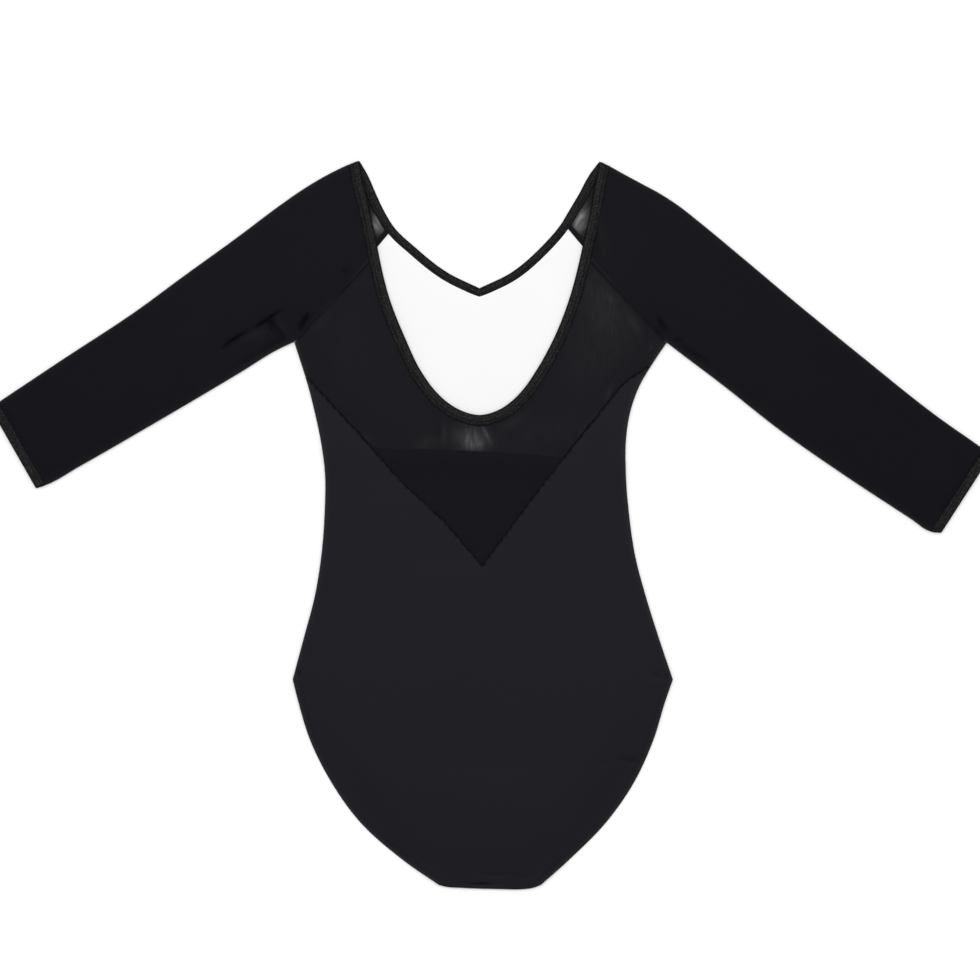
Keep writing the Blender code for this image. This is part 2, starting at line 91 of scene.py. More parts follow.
class Finish:
    """A material with one Principled surface, and the nodes that feed it."""

    def __init__(self, name, colour, roughness, gloss=0.5, sheen=0.0):
        self.material = bpy.data.materials.new(name)
        self.material.use_nodes = True
        self.tree = self.material.node_tree
        self.surface = self.tree.nodes["Principled BSDF"]
        self.feed("Base Color", (*colour, 1.0))
        self.feed("Roughness", roughness)
        self.feed("Specular IOR Level", gloss)
        self.feed("Sheen Weight", sheen)

    def node(self, kind, settings, sockets, output=0):
        """A node of a type, with its settings and the values or wires of its sockets."""
        made = self.tree.nodes.new(kind)
        for name, value in settings.items():
            setattr(made, name, value)
        for name, value in sockets.items():
            self.join(made.inputs[name], value)
        return Wire(self, made.outputs[output])

    def join(self, socket, value):
        if isinstance(value, Wire):
            self.tree.links.new(value.socket, socket)
        else:
            socket.default_value = value

    def feed(self, name, value):
        self.join(self.surface.inputs[name], value)

    def mark(self, name):
        """A number that the piece keeps for each of its points."""
        return self.node("ShaderNodeAttribute", {"attribute_name": name}, {}, output=2)

    def maths(self, operation, *values):
        return self.node("ShaderNodeMath", {"operation": operation}, dict(enumerate(values)))

    def wave(self, place):
        """A wave from 0 to 1 that repeats each time the place grows by 1."""
        return self.maths("SINE", place * (2 * math.pi)) * 0.5 + 0.5

    def ramp(self, value, low, high):
        """0 at the low value, 1 at the high value, and straight between."""
        sockets = {0: value, 1: low, 2: high}
        return self.node("ShaderNodeMapRange", {"clamp": True}, sockets)

    def tinted(self, share, first, second):
        """The first colour where the share is 0, and the second where it is 1."""
        sockets = {0: share, 6: (*first, 1.0), 7: (*second, 1.0)}
        return self.node("ShaderNodeMix", {"data_type": "RGBA"}, sockets, output=2)

    def place(self, angle=0.0):
        """Places on the piece in metres, turned about the vertical: along and across."""
        where = self.node("ShaderNodeTexCoord", {}, {}, output=3)
        turned = self.node("ShaderNodeMapping", {}, {"Vector": where, "Rotation": (0.0, 0.0, angle)})
        parts = self.tree.nodes.new("ShaderNodeSeparateXYZ")
        self.tree.links.new(turned.socket, parts.inputs[0])
        return turned, Wire(self, parts.outputs[0]), Wire(self, parts.outputs[1])

    def cloud(self, where, scale, detail=2.0):
        """Soft uneven noise from 0 to 1, with so many lumps to a metre."""
        return self.node("ShaderNodeTexNoise", {}, {"Vector": where, "Scale": scale, "Detail": detail})

    def relief(self, height, depth):
        """Raises the surface by a height from 0 to 1, times a depth in metres."""
        sockets = {"Height": height, "Distance": depth, "Strength": 1.0}
        self.feed("Normal", self.node("ShaderNodeBump", {}, sockets))


def quad_mesh(name, points, faces, finish):
    """A mesh from points in metres and rows of corner numbers."""
    mesh = bpy.data.meshes.new(name)
    mesh.from_pydata(np.asarray(points).tolist(), [], np.asarray(faces).tolist())
    mesh.materials.append(finish.material)
    piece = bpy.data.objects.new(name, mesh)
    bpy.context.collection.objects.link(piece)
    return piece


def make_studio():
    scene = bpy.context.scene
    corner = FLOOR_SIZE / 2
    corners = np.array([(-1, -1, 0), (1, -1, 0), (1, 1, 0), (-1, 1, 0)]) * corner
    paint = Finish("table_top", (0.95, 0.95, 0.95), 0.9, gloss=0.1)
    patchy = paint.cloud(paint.place()[0], 3.0)
    paint.feed("Base Color", paint.tinted(patchy, TABLE_SHADE, TABLE_LIGHT))
    floor = quad_mesh("floor", corners - [0.0, 0.0, FLOOR_DROP], [(0, 1, 2, 3)], paint)

    world = bpy.data.worlds.new("white_studio")
    world.use_nodes = True
    world.node_tree.nodes["Background"].inputs["Color"].default_value = (1.0, 1.0, 1.0, 1.0)
    world.node_tree.nodes["Background"].inputs["Strength"].default_value = STUDIO_LIGHT
    scene.world = world
    scene.view_settings.view_transform = "Standard"

    key = bpy.data.lights.new("soft_box", "AREA")
    key.size = KEY_SIZE
    key.energy = KEY_POWER
    lamp = bpy.data.objects.new("soft_box", key)
    lamp.location = KEY_PLACE
    aim = -np.array(KEY_PLACE)
    tilt = math.atan2(math.hypot(aim[0], aim[1]), -aim[2])
    turn = math.atan2(aim[1], aim[0]) - math.pi / 2
    lamp.rotation_euler = (tilt, 0.0, turn)
    bpy.context.collection.objects.link(lamp)

    lens = bpy.data.cameras.new("camera")
    lens.lens = lens.sensor_width * EYE_HEIGHT / VIEW_WIDTH
    camera = bpy.data.objects.new("camera", lens)
    camera.location = (*VIEW_CENTRE, EYE_HEIGHT)
    bpy.context.collection.objects.link(camera)
    scene.camera = camera


make_studio()

# Front body panel: opaque nylon and spandex jersey, cut in one piece with a higher leg than
# the back. It is the lower layer, face down on the table, and shows only from below.
WALL = 0.7
SEAM = 0.3
CLOTH_ROOM = 1.0
LOW = CLOTH_ROOM / 2
SEAT = CLOTH_ROOM + SEAM
BINDING_FRONT = 8.8
TUCK = 2.6
CENTRE = (7.2, 338.6)
JERSEY = (0.0068, 0.0061, 0.0097)
JERSEY_GREY = (0.0082, 0.0075, 0.0112)
# Painted light on the cloth: a light grey painted sheen along its edges, reaching so far in, a painted
# highlight on its ridges, and painted shade down in its creases.
PAINTED_SHEEN_GREY = (0.0165, 0.0165, 0.0170)
PAINTED_SHEEN_REACH = 2.6
PAINTED_RIDGE_HIGHLIGHT = 0.55
PAINTED_CREASE_SHADE = 0.8
WALE = 0.0008
COURSE = 0.0007

Point = namedtuple("Point", "x y")
Side = namedtuple("Side", "y left right")
Crease = namedtuple("Crease", "start bend end width height")

# Side seams, from the underarms to the hips
SIDES = [
    Side(508.0, -175.3, 170.7),
    Side(490.0, -169.5, 158.6),
    Side(470.0, -163.2, 146.5),
    Side(445.0, -156.8, 137.2),
    Side(420.0, -151.4, 133.1),
    Side(390.0, -147.2, 132.7),
    Side(350.0, -147.3, 135.7),
    Side(310.0, -150.4, 141.5),
    Side(270.0, -157.0, 152.1),
    Side(235.0, -166.3, 163.1),
    Side(195.0, -177.0, 176.6),
]

# Leg edge of the front, from the hips to the corners of the crotch
FRONT_LEG = [
    Side(195.0, -177.0, 176.6),
    Side(184.0, -166.0, 166.0),
    Side(165.0, -149.0, 150.0),
    Side(140.0, -127.0, 128.0),
    Side(110.0, -101.0, 104.0),
    Side(80.0, -77.0, 83.0),
    Side(50.0, -57.0, 67.0),
    Side(25.0, -46.0, 58.0),
    Side(4.0, -41.0, 53.9),
]

# The crotch fold, from its left corner to its right corner
CROTCH = [
    Point(-41.0, 4.0),
    Point(-34.0, 2.2),
    Point(-21.0, 1.3),
    Point(16.0, 0.1),
    Point(37.0, 0.0),
    Point(46.0, 1.1),
    Point(53.9, 4.0),
]

# Opening edge of the front neck, from each shoulder tip down to the point of the V
FRONT_NECK_LEFT = [
    Point(-115.0, 677.3),
    Point(-106.8, 663.1),
    Point(-99.5, 646.4),
    Point(-91.5, 629.6),
    Point(-83.3, 616.2),
    Point(-62.4, 596.1),
    Point(-33.9, 573.8),
    Point(-3.3, 558.6),
]
FRONT_NECK_RIGHT = [
    Point(-3.3, 558.6),
    Point(27.1, 573.8),
    Point(53.2, 596.1),
    Point(74.0, 620.5),
    Point(79.3, 629.6),
    Point(89.3, 646.4),
    Point(98.3, 663.1),
    Point(108.3, 676.6),
]

# Faint folds pressed into the front where it lies on the table
FRONT_CREASES = [
    Crease((-120.0, 300.0), (-60.0, 285.0), (10.0, 300.0), 6.0, 0.25),
    Crease((20.0, 230.0), (70.0, 245.0), (120.0, 238.0), 7.0, 0.25),
    Crease((-60.0, 120.0), (-20.0, 150.0), (-10.0, 200.0), 6.0, 0.2),
]

FRONT_SHOULDER_FACES = 24
FRONT_NECK_FACES = 30
FRONT_RAGLAN_FACES = 40
FRONT_SIDE_FACES = 80
FRONT_LEG_FACES = 60


def pair(points):
    """Table rows as an array with a point in each row."""
    return np.array([[p[0], p[1]] for p in points], float)


def unit(vectors):
    return vectors / np.linalg.norm(vectors, axis=-1, keepdims=True)


def ease(x):
    """0 up to 0, 1 from 1 on, and 3x² - 2x³ between."""
    x = np.clip(x, 0.0, 1.0)
    return x * x * (3.0 - 2.0 * x)


def hermite(at, values, wanted):
    """A smooth curve through the values: cubic between rows, with the slopes of the rows beside."""
    slope = np.gradient(values, at, axis=0)
    k = np.clip(np.searchsorted(at, wanted, side="right") - 1, 0, len(at) - 2)
    span = (at[k + 1] - at[k])[:, None]
    w = (wanted - at[k])[:, None] / span
    start = (1 + 2 * w) * (1 - w) ** 2 * values[k] + w * (1 - w) ** 2 * span * slope[k]
    end = w * w * (3 - 2 * w) * values[k + 1] - w * w * (1 - w) * span * slope[k + 1]
    return start + end


def steps(line):
    return np.linalg.norm(np.diff(line, axis=0), axis=1)


def smooth(points, stops=None, faces=None, crowd=(1.0, 1.0)):
    """Points along one smooth line through the rows, divided between the rows named in stops.
    Shares of each stretch are even ones raised to a power: above 1, the first power crowds
    them near its start, and the second one near its end."""
    points = pair(points)
    stops = stops or [len(points) - 1]
    faces = faces if hasattr(faces, "__len__") else [faces]
    at = np.concatenate([[0.0], np.cumsum(steps(points))])
    wanted = [at[:1]]
    for first, last, count in zip([0, *stops], stops, faces):
        share = 1 - (1 - np.linspace(0.0, 1.0, count + 1)[1:] ** crowd[0]) ** crowd[1]
        wanted.append(at[first] + (at[last] - at[first]) * share)
    return hermite(at, points, np.concatenate(wanted))


def side_line(column, top, bottom, faces, crowd=1.0):
    """Points down a side seam between two heights. The share of the way down is a power,
    crowd, of an even share, so that above 1 more of the points lie near the top."""
    heights = np.array([row.y for row in SIDES])[::-1]
    values = np.array([[getattr(row, column)] for row in SIDES])[::-1]
    wanted = top + (bottom - top) * np.linspace(0.0, 1.0, faces + 1) ** crowd
    return np.column_stack([hermite(heights, values, wanted)[:, 0], wanted])


def leg_line(table, column, faces, crowd=(1.0, 1.0)):
    return smooth([Point(getattr(row, column), row.y) for row in table], faces=faces, crowd=crowd)


def beside(line, distance):
    """The line moved to its left by a distance, mitred at its corners."""
    across = unit(np.diff(line, axis=0))[:, ::-1] * [-1.0, 1.0]
    before = np.vstack([across[:1], across])
    after = np.vstack([across, across[-1:]])
    mitre = (before + after) / (1.0 + np.sum(before * after, axis=1, keepdims=True))
    return line + mitre * distance


def lengths(line):
    """How far along the line each point is, as a share of its length."""
    at = np.concatenate([[0.0], np.cumsum(steps(line))])
    return at / at[-1]


def patch(top, bottom, left, right):
    """A grid of points inside four lines. top and bottom run from left to right, left and
    right from top to bottom. Each point is the blend of the two pairs of lines, less the
    blend of the four corners."""
    u = (lengths(top) + lengths(bottom))[None, :, None] / 2
    v = (lengths(left) + lengths(right))[:, None, None] / 2
    down = (1 - v) * top[None] + v * bottom[None]
    over = (1 - u) * left[:, None] + u * right[:, None]
    above = (1 - u) * top[0] + u * top[-1]
    below = (1 - u) * bottom[0] + u * bottom[-1]
    return down + over - (1 - v) * above - v * below


def shrunk(grid, distance):
    """The grid with its border moved inwards."""
    grid = grid.copy()
    rows, columns = grid.shape[:2]
    across, down = np.arange(columns), np.arange(1, rows)
    i = np.concatenate([0 * across, down, 0 * across[1:] + rows - 1, down[:-1][::-1]])
    j = np.concatenate([across, 0 * down + columns - 1, across[:-1][::-1], 0 * down[:-1]])
    loop = grid[i, j]
    following = np.roll(loop, -1, axis=0)
    area = np.sum(loop[:, 0] * following[:, 1] - following[:, 0] * loop[:, 1])
    closed = np.vstack([loop[-1:], loop, loop[:1]])
    grid[i, j] = beside(closed, math.copysign(distance, area))[1:-1]
    return grid


def near_line(points, line):
    """How far each point is from a line of straight pieces, and how far along it that is."""
    start, step = line[:-1], np.diff(line, axis=0)
    size = steps(line)
    offset = points[..., None, :] - start
    share = np.clip(np.sum(offset * step, axis=-1) / size**2, 0.0, 1.0)
    gap = np.linalg.norm(offset - share[..., None] * step, axis=-1)
    nearest = gap.argmin(axis=-1)[..., None]
    along = np.cumsum(size) - size + share * size
    return np.take_along_axis(gap, nearest, -1)[..., 0], np.take_along_axis(along, nearest, -1)[..., 0]


def creased(points, creases):
    """The sum of soft ridges, or troughs where the height is below 0. Each follows a curve
    bent towards its middle point: height times exp(-(distance / width)²), times the sine of
    half a turn along it, so that its ends fade out."""
    t = np.linspace(0.0, 1.0, 13)[:, None]
    rise = np.zeros(points.shape[:-1])
    for crease in creases:
        start, bend, end = pair(crease[:3])
        line = (1 - t) ** 2 * start + 2 * t * (1 - t) * bend + t * t * end
        away, along = near_line(points, line)
        fade = np.sin(math.pi * along / steps(line).sum())
        rise += crease.height * np.exp(-((away / crease.width) ** 2)) * fade
    return rise


def lifted(grid, height):
    """The flat grid with each point at its height."""
    height = np.broadcast_to(height, grid.shape[:-1])
    return np.concatenate([grid, height[..., None]], axis=-1)


def slope(grid, axis, closed):
    """The change from point to point along one axis, across the join where it is closed."""
    if closed:
        return np.roll(grid, -1, axis) - np.roll(grid, 1, axis)
    return np.gradient(grid, axis=axis)


def cloth(name, middle, half, finish, closed=False, around=False):
    """A closed wall about a grid of points: each is moved out and in along the normal, which
    is the cross product of the slopes down and across, by half the wall there. closed joins
    the last column to the first one, and around joins the last row to the first one."""
    normal = unit(np.cross(slope(middle, 0, around), slope(middle, 1, closed)))
    upper = middle[..., 2] >= np.median(middle[..., 2])
    turn = np.sign(normal[upper][:, 2].mean())
    step = normal * turn * np.broadcast_to(half, middle.shape[:-1])[..., None]
    points = np.concatenate([(middle + step).reshape(-1, 3), (middle - step).reshape(-1, 3)])
    points = (points - [*CENTRE, 0.0]) * MM
    points[:, 2] = np.maximum(points[:, 2], 0.0)
    outer = np.arange(middle.shape[0] * middle.shape[1]).reshape(middle.shape[:2])
    outer = np.vstack([outer, outer[:1]]) if around else outer
    outer = np.hstack([outer, outer[:, :1]]) if closed else outer
    inner = outer + middle.shape[0] * middle.shape[1]
    sides = [np.stack([outer[:-1, :-1], outer[1:, :-1], outer[1:, 1:], outer[:-1, 1:]], axis=-1)]
    sides.append(np.stack([inner[:-1, 1:], inner[1:, 1:], inner[1:, :-1], inner[:-1, :-1]], axis=-1))
    rims = [] if around else [(outer[0], inner[0], 1), (outer[-1], inner[-1], -1)]
    rims += [] if closed else [(outer[:, 0], inner[:, 0], -1), (outer[:, -1], inner[:, -1], 1)]
    for edge, back, way in rims:
        edge, back = edge[::way], back[::way]
        sides.append(np.stack([edge[:-1], edge[1:], back[1:], back[:-1]], axis=-1))
    faces = np.concatenate([side.reshape(-1, 4) for side in sides])
    piece = quad_mesh(name, points, faces if turn > 0 else faces[:, ::-1], finish)
    piece.data.shade_smooth()
    piece.data.set_sharp_from_angle(angle=math.radians(50))
    return piece


def marked(piece, name, values):
    """A number for each point of the grid, kept on both faces of its wall."""
    attribute = piece.data.attributes.new(name, "FLOAT", "POINT")
    attribute.data.foreach_set("value", np.tile(np.asarray(values, float).ravel(), 2))


def put_on(piece, slot, *nodes):
    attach(piece, "root")
    if nodes:
        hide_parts(*nodes)


def knit(finish, along, across, wale, course):
    """Columns of small slanted loops: a wave down the cloth whose phase follows a zigzag
    across it, so that each column is a row of shallow letters V."""
    column = finish.maths("PINGPONG", across / wale, 0.5) * 2.0
    return finish.wave(along / course + column * 0.5) * (1.0 - column * 0.4)


def painted_sheen_and_shade(finish, first, second, share):
    """Two tones of the yarn by a share, made paler by a painted sheen along the cloth's edges and a
    painted highlight on its folds, and darker by painted shade down in its creases and by the black seam
    lines."""
    painted_highlight = finish.mark("painted_highlight")
    painted_shade_and_seams = finish.mark("painted_shade_and_seams")
    tones = finish.tinted(share, first, second)
    fuzz = finish.cloud(finish.place()[0], 500.0)
    # Painted sheen along the edges and painted highlight on the ridges, mottled by the grain, then painted
    # shade in the creases and the black seam lines.
    sockets = {0: painted_highlight * (fuzz * 1.6), 6: tones, 7: (*PAINTED_SHEEN_GREY, 1.0)}
    with_painted_sheen = finish.node("ShaderNodeMix", {"data_type": "RGBA"}, sockets, output=2)
    sockets = {0: painted_shade_and_seams, 6: with_painted_sheen, 7: (0.0, 0.0, 0.0, 1.0)}
    return finish.node("ShaderNodeMix", {"data_type": "RGBA"}, sockets, output=2)


def mark_painted_light(piece, grid, lines, rise=0.0, seam=0.0):
    """Keeps two marks for each point. The first is a painted sheen, exp(-(distance / reach)²) from the
    nearest edge line, plus a painted highlight of a share of a ridge's height. The second is painted
    shade, the depth of a trough, squared, plus the seams."""
    near = np.min([near_line(grid[..., :2], line)[0] for line in lines], axis=0)
    ridge = PAINTED_RIDGE_HIGHLIGHT * np.clip(rise, 0.0, 1.0)
    marked(piece, "painted_highlight", np.clip(np.exp(-((near / PAINTED_SHEEN_REACH) ** 2)) + ridge, 0.0, 1.0))
    marked(piece, "painted_shade_and_seams", np.clip(PAINTED_CREASE_SHADE * np.clip(-rise, 0.0, 1.0) ** 2 + seam, 0.0, 1.0) + 0.0 * near)


def jersey(name):
    finish = Finish(name, JERSEY, 0.52, gloss=0.07, sheen=0.01)
    where, across, along = finish.place()
    broad = finish.cloud(where, 9.0)
    fine = finish.cloud(where, 420.0)
    # Base colour: the yarn's two tones, with painted sheen, painted highlight and painted shade.
    finish.feed("Base Color", painted_sheen_and_shade(finish, JERSEY, JERSEY_GREY, broad * 0.6 + fine * 0.4))
    painted_shade_and_seams = finish.mark("painted_shade_and_seams")
    finish.feed("Roughness", fine * 0.12 + painted_shade_and_seams * 0.4 + 0.44)
    finish.relief(knit(finish, along, across, WALE, COURSE) * 0.6 + fine * 0.4, 0.00005)
    return finish


HALF = SEAM / 2
underarm_left = np.array([SIDES[0].left, SIDES[0].y])
underarm_right = np.array([SIDES[0].right, SIDES[0].y])
hip = SIDES[-1].y
front_left = smooth(FRONT_NECK_LEFT, stops=[4, 7], faces=[FRONT_SHOULDER_FACES, FRONT_NECK_FACES])
front_right = smooth(FRONT_NECK_RIGHT, stops=[3, 7], faces=[FRONT_NECK_FACES, FRONT_SHOULDER_FACES])
front_edge = np.vstack([front_left, front_right[1:]])
front_seam = beside(front_edge, TUCK - BINDING_FRONT)
front_scoop = front_seam[FRONT_SHOULDER_FACES:-FRONT_SHOULDER_FACES]
front_raglan_left = np.linspace(front_scoop[0], underarm_left, FRONT_RAGLAN_FACES + 1)
front_raglan_right = np.linspace(front_scoop[-1], underarm_right, FRONT_RAGLAN_FACES + 1)
front_top = np.vstack([front_raglan_left[::-1], front_scoop[1:-1], front_raglan_right])
front_leg_left = leg_line(FRONT_LEG, "left", FRONT_LEG_FACES)
front_leg_right = leg_line(FRONT_LEG, "right", FRONT_LEG_FACES)


def body_grid(top, sides, legs):
    """A grid from the panel's top line down both sides and leg edges to the crotch."""
    left = np.vstack([sides[0], legs[0][1:]])
    right = np.vstack([sides[1], legs[1][1:]])
    return shrunk(patch(top, smooth(CROTCH, faces=len(top) - 1), left, right), HALF)


def make_front_panel():
    sides = [side_line(c, SIDES[0].y, hip, FRONT_SIDE_FACES) for c in ("left", "right")]
    grid = body_grid(front_top, sides, [front_leg_left, front_leg_right])
    middle = lifted(grid, LOW + creased(grid, FRONT_CREASES))
    piece = cloth("front_body", middle, WALL / 2, jersey("front_jersey"))
    put_on(piece, "body_knit", "front_panel")
    mark_painted_light(piece, grid, [*sides, front_leg_left, front_leg_right])


make_front_panel()

# Front lining: thin white tricot inside the upper front, sewn into the neck and raglan seams,
# with a free lower edge under the bust. It shows through the back neck opening.
TRICOT = (0.87, 0.87, 0.87)
TRICOT_SHADE = (0.84, 0.84, 0.842)
LINING_SIDE_FACES = 48
LINING_SINK = 0.6
LINING_SINK_WIDTH = 9.0

# Free lower edge of the lining
LINING_EDGE = [
    Point(-151.0, 410.5),
    Point(-99.0, 409.7),
    Point(-26.0, 407.9),
    Point(76.0, 401.6),
    Point(133.0, 397.5),
]

# Soft folds in the lining, most of them slanting up from the left edge of the opening
LINING_CREASES = [
    Crease((-78.0, 512.0), (-48.0, 528.0), (-14.0, 548.0), 2.6, 0.22),
    Crease((-70.0, 530.0), (-50.0, 552.0), (-34.0, 566.0), 5.0, 0.25),
    Crease((-62.0, 480.0), (-40.0, 470.0), (-10.0, 462.0), 6.0, 0.2),
    Crease((0.0, 540.0), (8.0, 505.0), (4.0, 465.0), 5.0, 0.2),
    Crease((58.0, 575.0), (66.0, 545.0), (62.0, 505.0), 5.0, 0.3),
    Crease((38.0, 470.0), (52.0, 500.0), (58.0, 530.0), 4.0, 0.2),
]


def make_lining():
    left = side_line("left", SIDES[0].y, LINING_EDGE[0].y, LINING_SIDE_FACES)
    right = side_line("right", SIDES[0].y, LINING_EDGE[-1].y, LINING_SIDE_FACES)
    bottom = smooth([left[-1], *LINING_EDGE[1:-1], right[-1]], faces=len(front_top) - 1)
    grid = shrunk(patch(front_top, bottom, left, right), HALF)
    sunk = LINING_SINK * (1 - ease(near_line(grid, front_scoop[::4])[0] / LINING_SINK_WIDTH))
    finish = Finish("white_tricot", TRICOT, 0.8, gloss=0.2)
    where, across, along = finish.place()
    finish.feed("Base Color", finish.tinted(finish.cloud(where, 14.0), TRICOT, TRICOT_SHADE))
    finish.relief(knit(finish, along, across, WALE, COURSE) + finish.cloud(where, 60.0), 0.00008)
    height = LOW + SEAT + creased(grid, LINING_CREASES) - sunk
    piece = cloth("front_tricot", lifted(grid, height), WALL / 2, finish)
    put_on(piece, "lining_knit", "front_lining")


make_lining()

# Back body panel: the same jersey, from the V shaped yoke seam to the crotch. The leg edges
# are turned under and coverstitched, and the side seams are overlocked inside.
PUFF = 1.6
PUFF_REACH = 50.0
LINING_STEP = (4.0, 30.0)
LEG_STEP = (4.0, 34.0)
HEM_WIDTH = 8.5
HEM_STEP = 5.0
HEM_RISE = 0.3
SEAM_DIP = 0.3
RAGLAN_DIP = 0.05
RAGLAN_SHARE = 0.45
RAGLAN_SHIFT = 1.7
SEAM_DIP_WIDTH = 1.5
PUCKER_PITCH = 7.0
PUCKER_RISE = 0.42
PUCKER_WIDTH = 4.5
BACK_SIDE_FACES = 85
BACK_LEG_FACES = 84
YOKE_ARM_FACES = 105
TOP_CROWD = 1.25
CROTCH_CROWD = (1.0, 1.35)
WOBBLE = 0.7
WOBBLE_PITCH = 8.0
SIDE_ROLL = 0.3
SIDE_ROLL_INSET = 2.4
SIDE_ROLL_WIDTH = 1.3
EDGE_FADE = 2.5
SEAM_TONE = 0.6
SEAM_TONE_WIDTH = 1.3

Edge = namedtuple("Edge", "along out")
Sleeve = namedtuple("Sleeve", "turn tip wrist upper lower")

# Leg edge of the back, from the hips to the corners of the crotch
BACK_LEG = [
    Side(195.0, -177.0, 176.6),
    Side(176.0, -172.2, 169.9),
    Side(139.0, -161.0, 158.6),
    Side(101.0, -142.1, 141.5),
    Side(64.0, -115.9, 116.2),
    Side(27.0, -74.4, 79.7),
    Side(4.0, -41.0, 53.9),
]

# Seam between the yoke and the back panel, from each side seam down to its point
YOKE_SEAM_LEFT_END = 477.0
YOKE_SEAM_RIGHT_END = 486.4
YOKE_SEAM_LEFT = [Point(-114.4, 421.8), Point(-72.5, 375.3), Point(-40.0, 345.0)]
YOKE_SEAM_POINT = Point(-0.5, 299.9)
YOKE_SEAM_RIGHT = [Point(34.4, 347.4), Point(76.3, 402.0), Point(111.1, 445.0), Point(132.1, 470.6)]

# Opening edge of the back neck, from the left shoulder tip round to the right one
BACK_NECK = [
    Point(-115.0, 677.3),
    Point(-112.1, 660.3),
    Point(-106.7, 638.0),
    Point(-99.7, 605.4),
    Point(-96.0, 586.0),
    Point(-87.6, 551.5),
    Point(-72.4, 512.5),
    Point(-58.2, 482.7),
    Point(-45.1, 464.1),
    Point(-35.8, 454.8),
    Point(-21.4, 445.5),
    Point(-2.8, 440.8),
    Point(14.5, 445.5),
    Point(28.0, 454.8),
    Point(36.9, 464.1),
    Point(49.8, 482.7),
    Point(66.0, 512.5),
    Point(81.0, 551.5),
    Point(90.2, 587.0),
    Point(94.6, 607.5),
    Point(98.8, 625.9),
    Point(103.6, 653.0),
    Point(108.3, 676.6),
]

# Sleeves, laid along the line from the shoulder tip to the wrist: how far along that line,
# and how far out of it on its upper side. The second row is the end of the neck elastic,
# and the last two rows are the seam and the edge of the cuff.
SLEEVE_LEFT = Sleeve(
    turn=1,
    tip=Point(-115.0, 677.3),
    wrist=Point(-458.0, 447.8),
    upper=[
        Edge(0.0, 0.0),
        Edge(10.2, 2.6),
        Edge(20.0, 4.2),
        Edge(40.0, 6.3),
        Edge(62.0, 7.1),
        Edge(85.0, 6.6),
        Edge(131.0, 4.1),
        Edge(200.0, 1.5),
        Edge(246.0, -0.6),
        Edge(335.0, -0.1),
        Edge(403.2, 0.0),
        Edge(412.7, 0.0),
    ],
    lower=[
        Edge(144.0, -106.6),
        Edge(159.0, -104.3),
        Edge(202.0, -102.4),
        Edge(288.6, -97.6),
        Edge(374.0, -91.9),
        Edge(409.8, -88.9),
        Edge(418.9, -86.4),
    ],
)
SLEEVE_RIGHT = Sleeve(
    turn=-1,
    tip=Point(108.3, 676.6),
    wrist=Point(472.4, 403.9),
    upper=[
        Edge(0.0, 0.0),
        Edge(10.6, 2.2),
        Edge(21.6, 3.7),
        Edge(42.5, 6.8),
        Edge(63.4, 9.9),
        Edge(85.7, 11.2),
        Edge(109.0, 10.6),
        Edge(158.0, 8.2),
        Edge(230.0, 4.2),
        Edge(302.0, 1.2),
        Edge(397.0, -1.4),
        Edge(445.6, 0.0),
        Edge(454.9, 0.0),
    ],
    lower=[
        Edge(151.7, -97.6),
        Edge(167.0, -97.8),
        Edge(214.0, -98.0),
        Edge(285.0, -99.7),
        Edge(353.0, -97.5),
        Edge(431.0, -92.7),
        Edge(452.0, -91.3),
        Edge(461.0, -86.4),
    ],
)

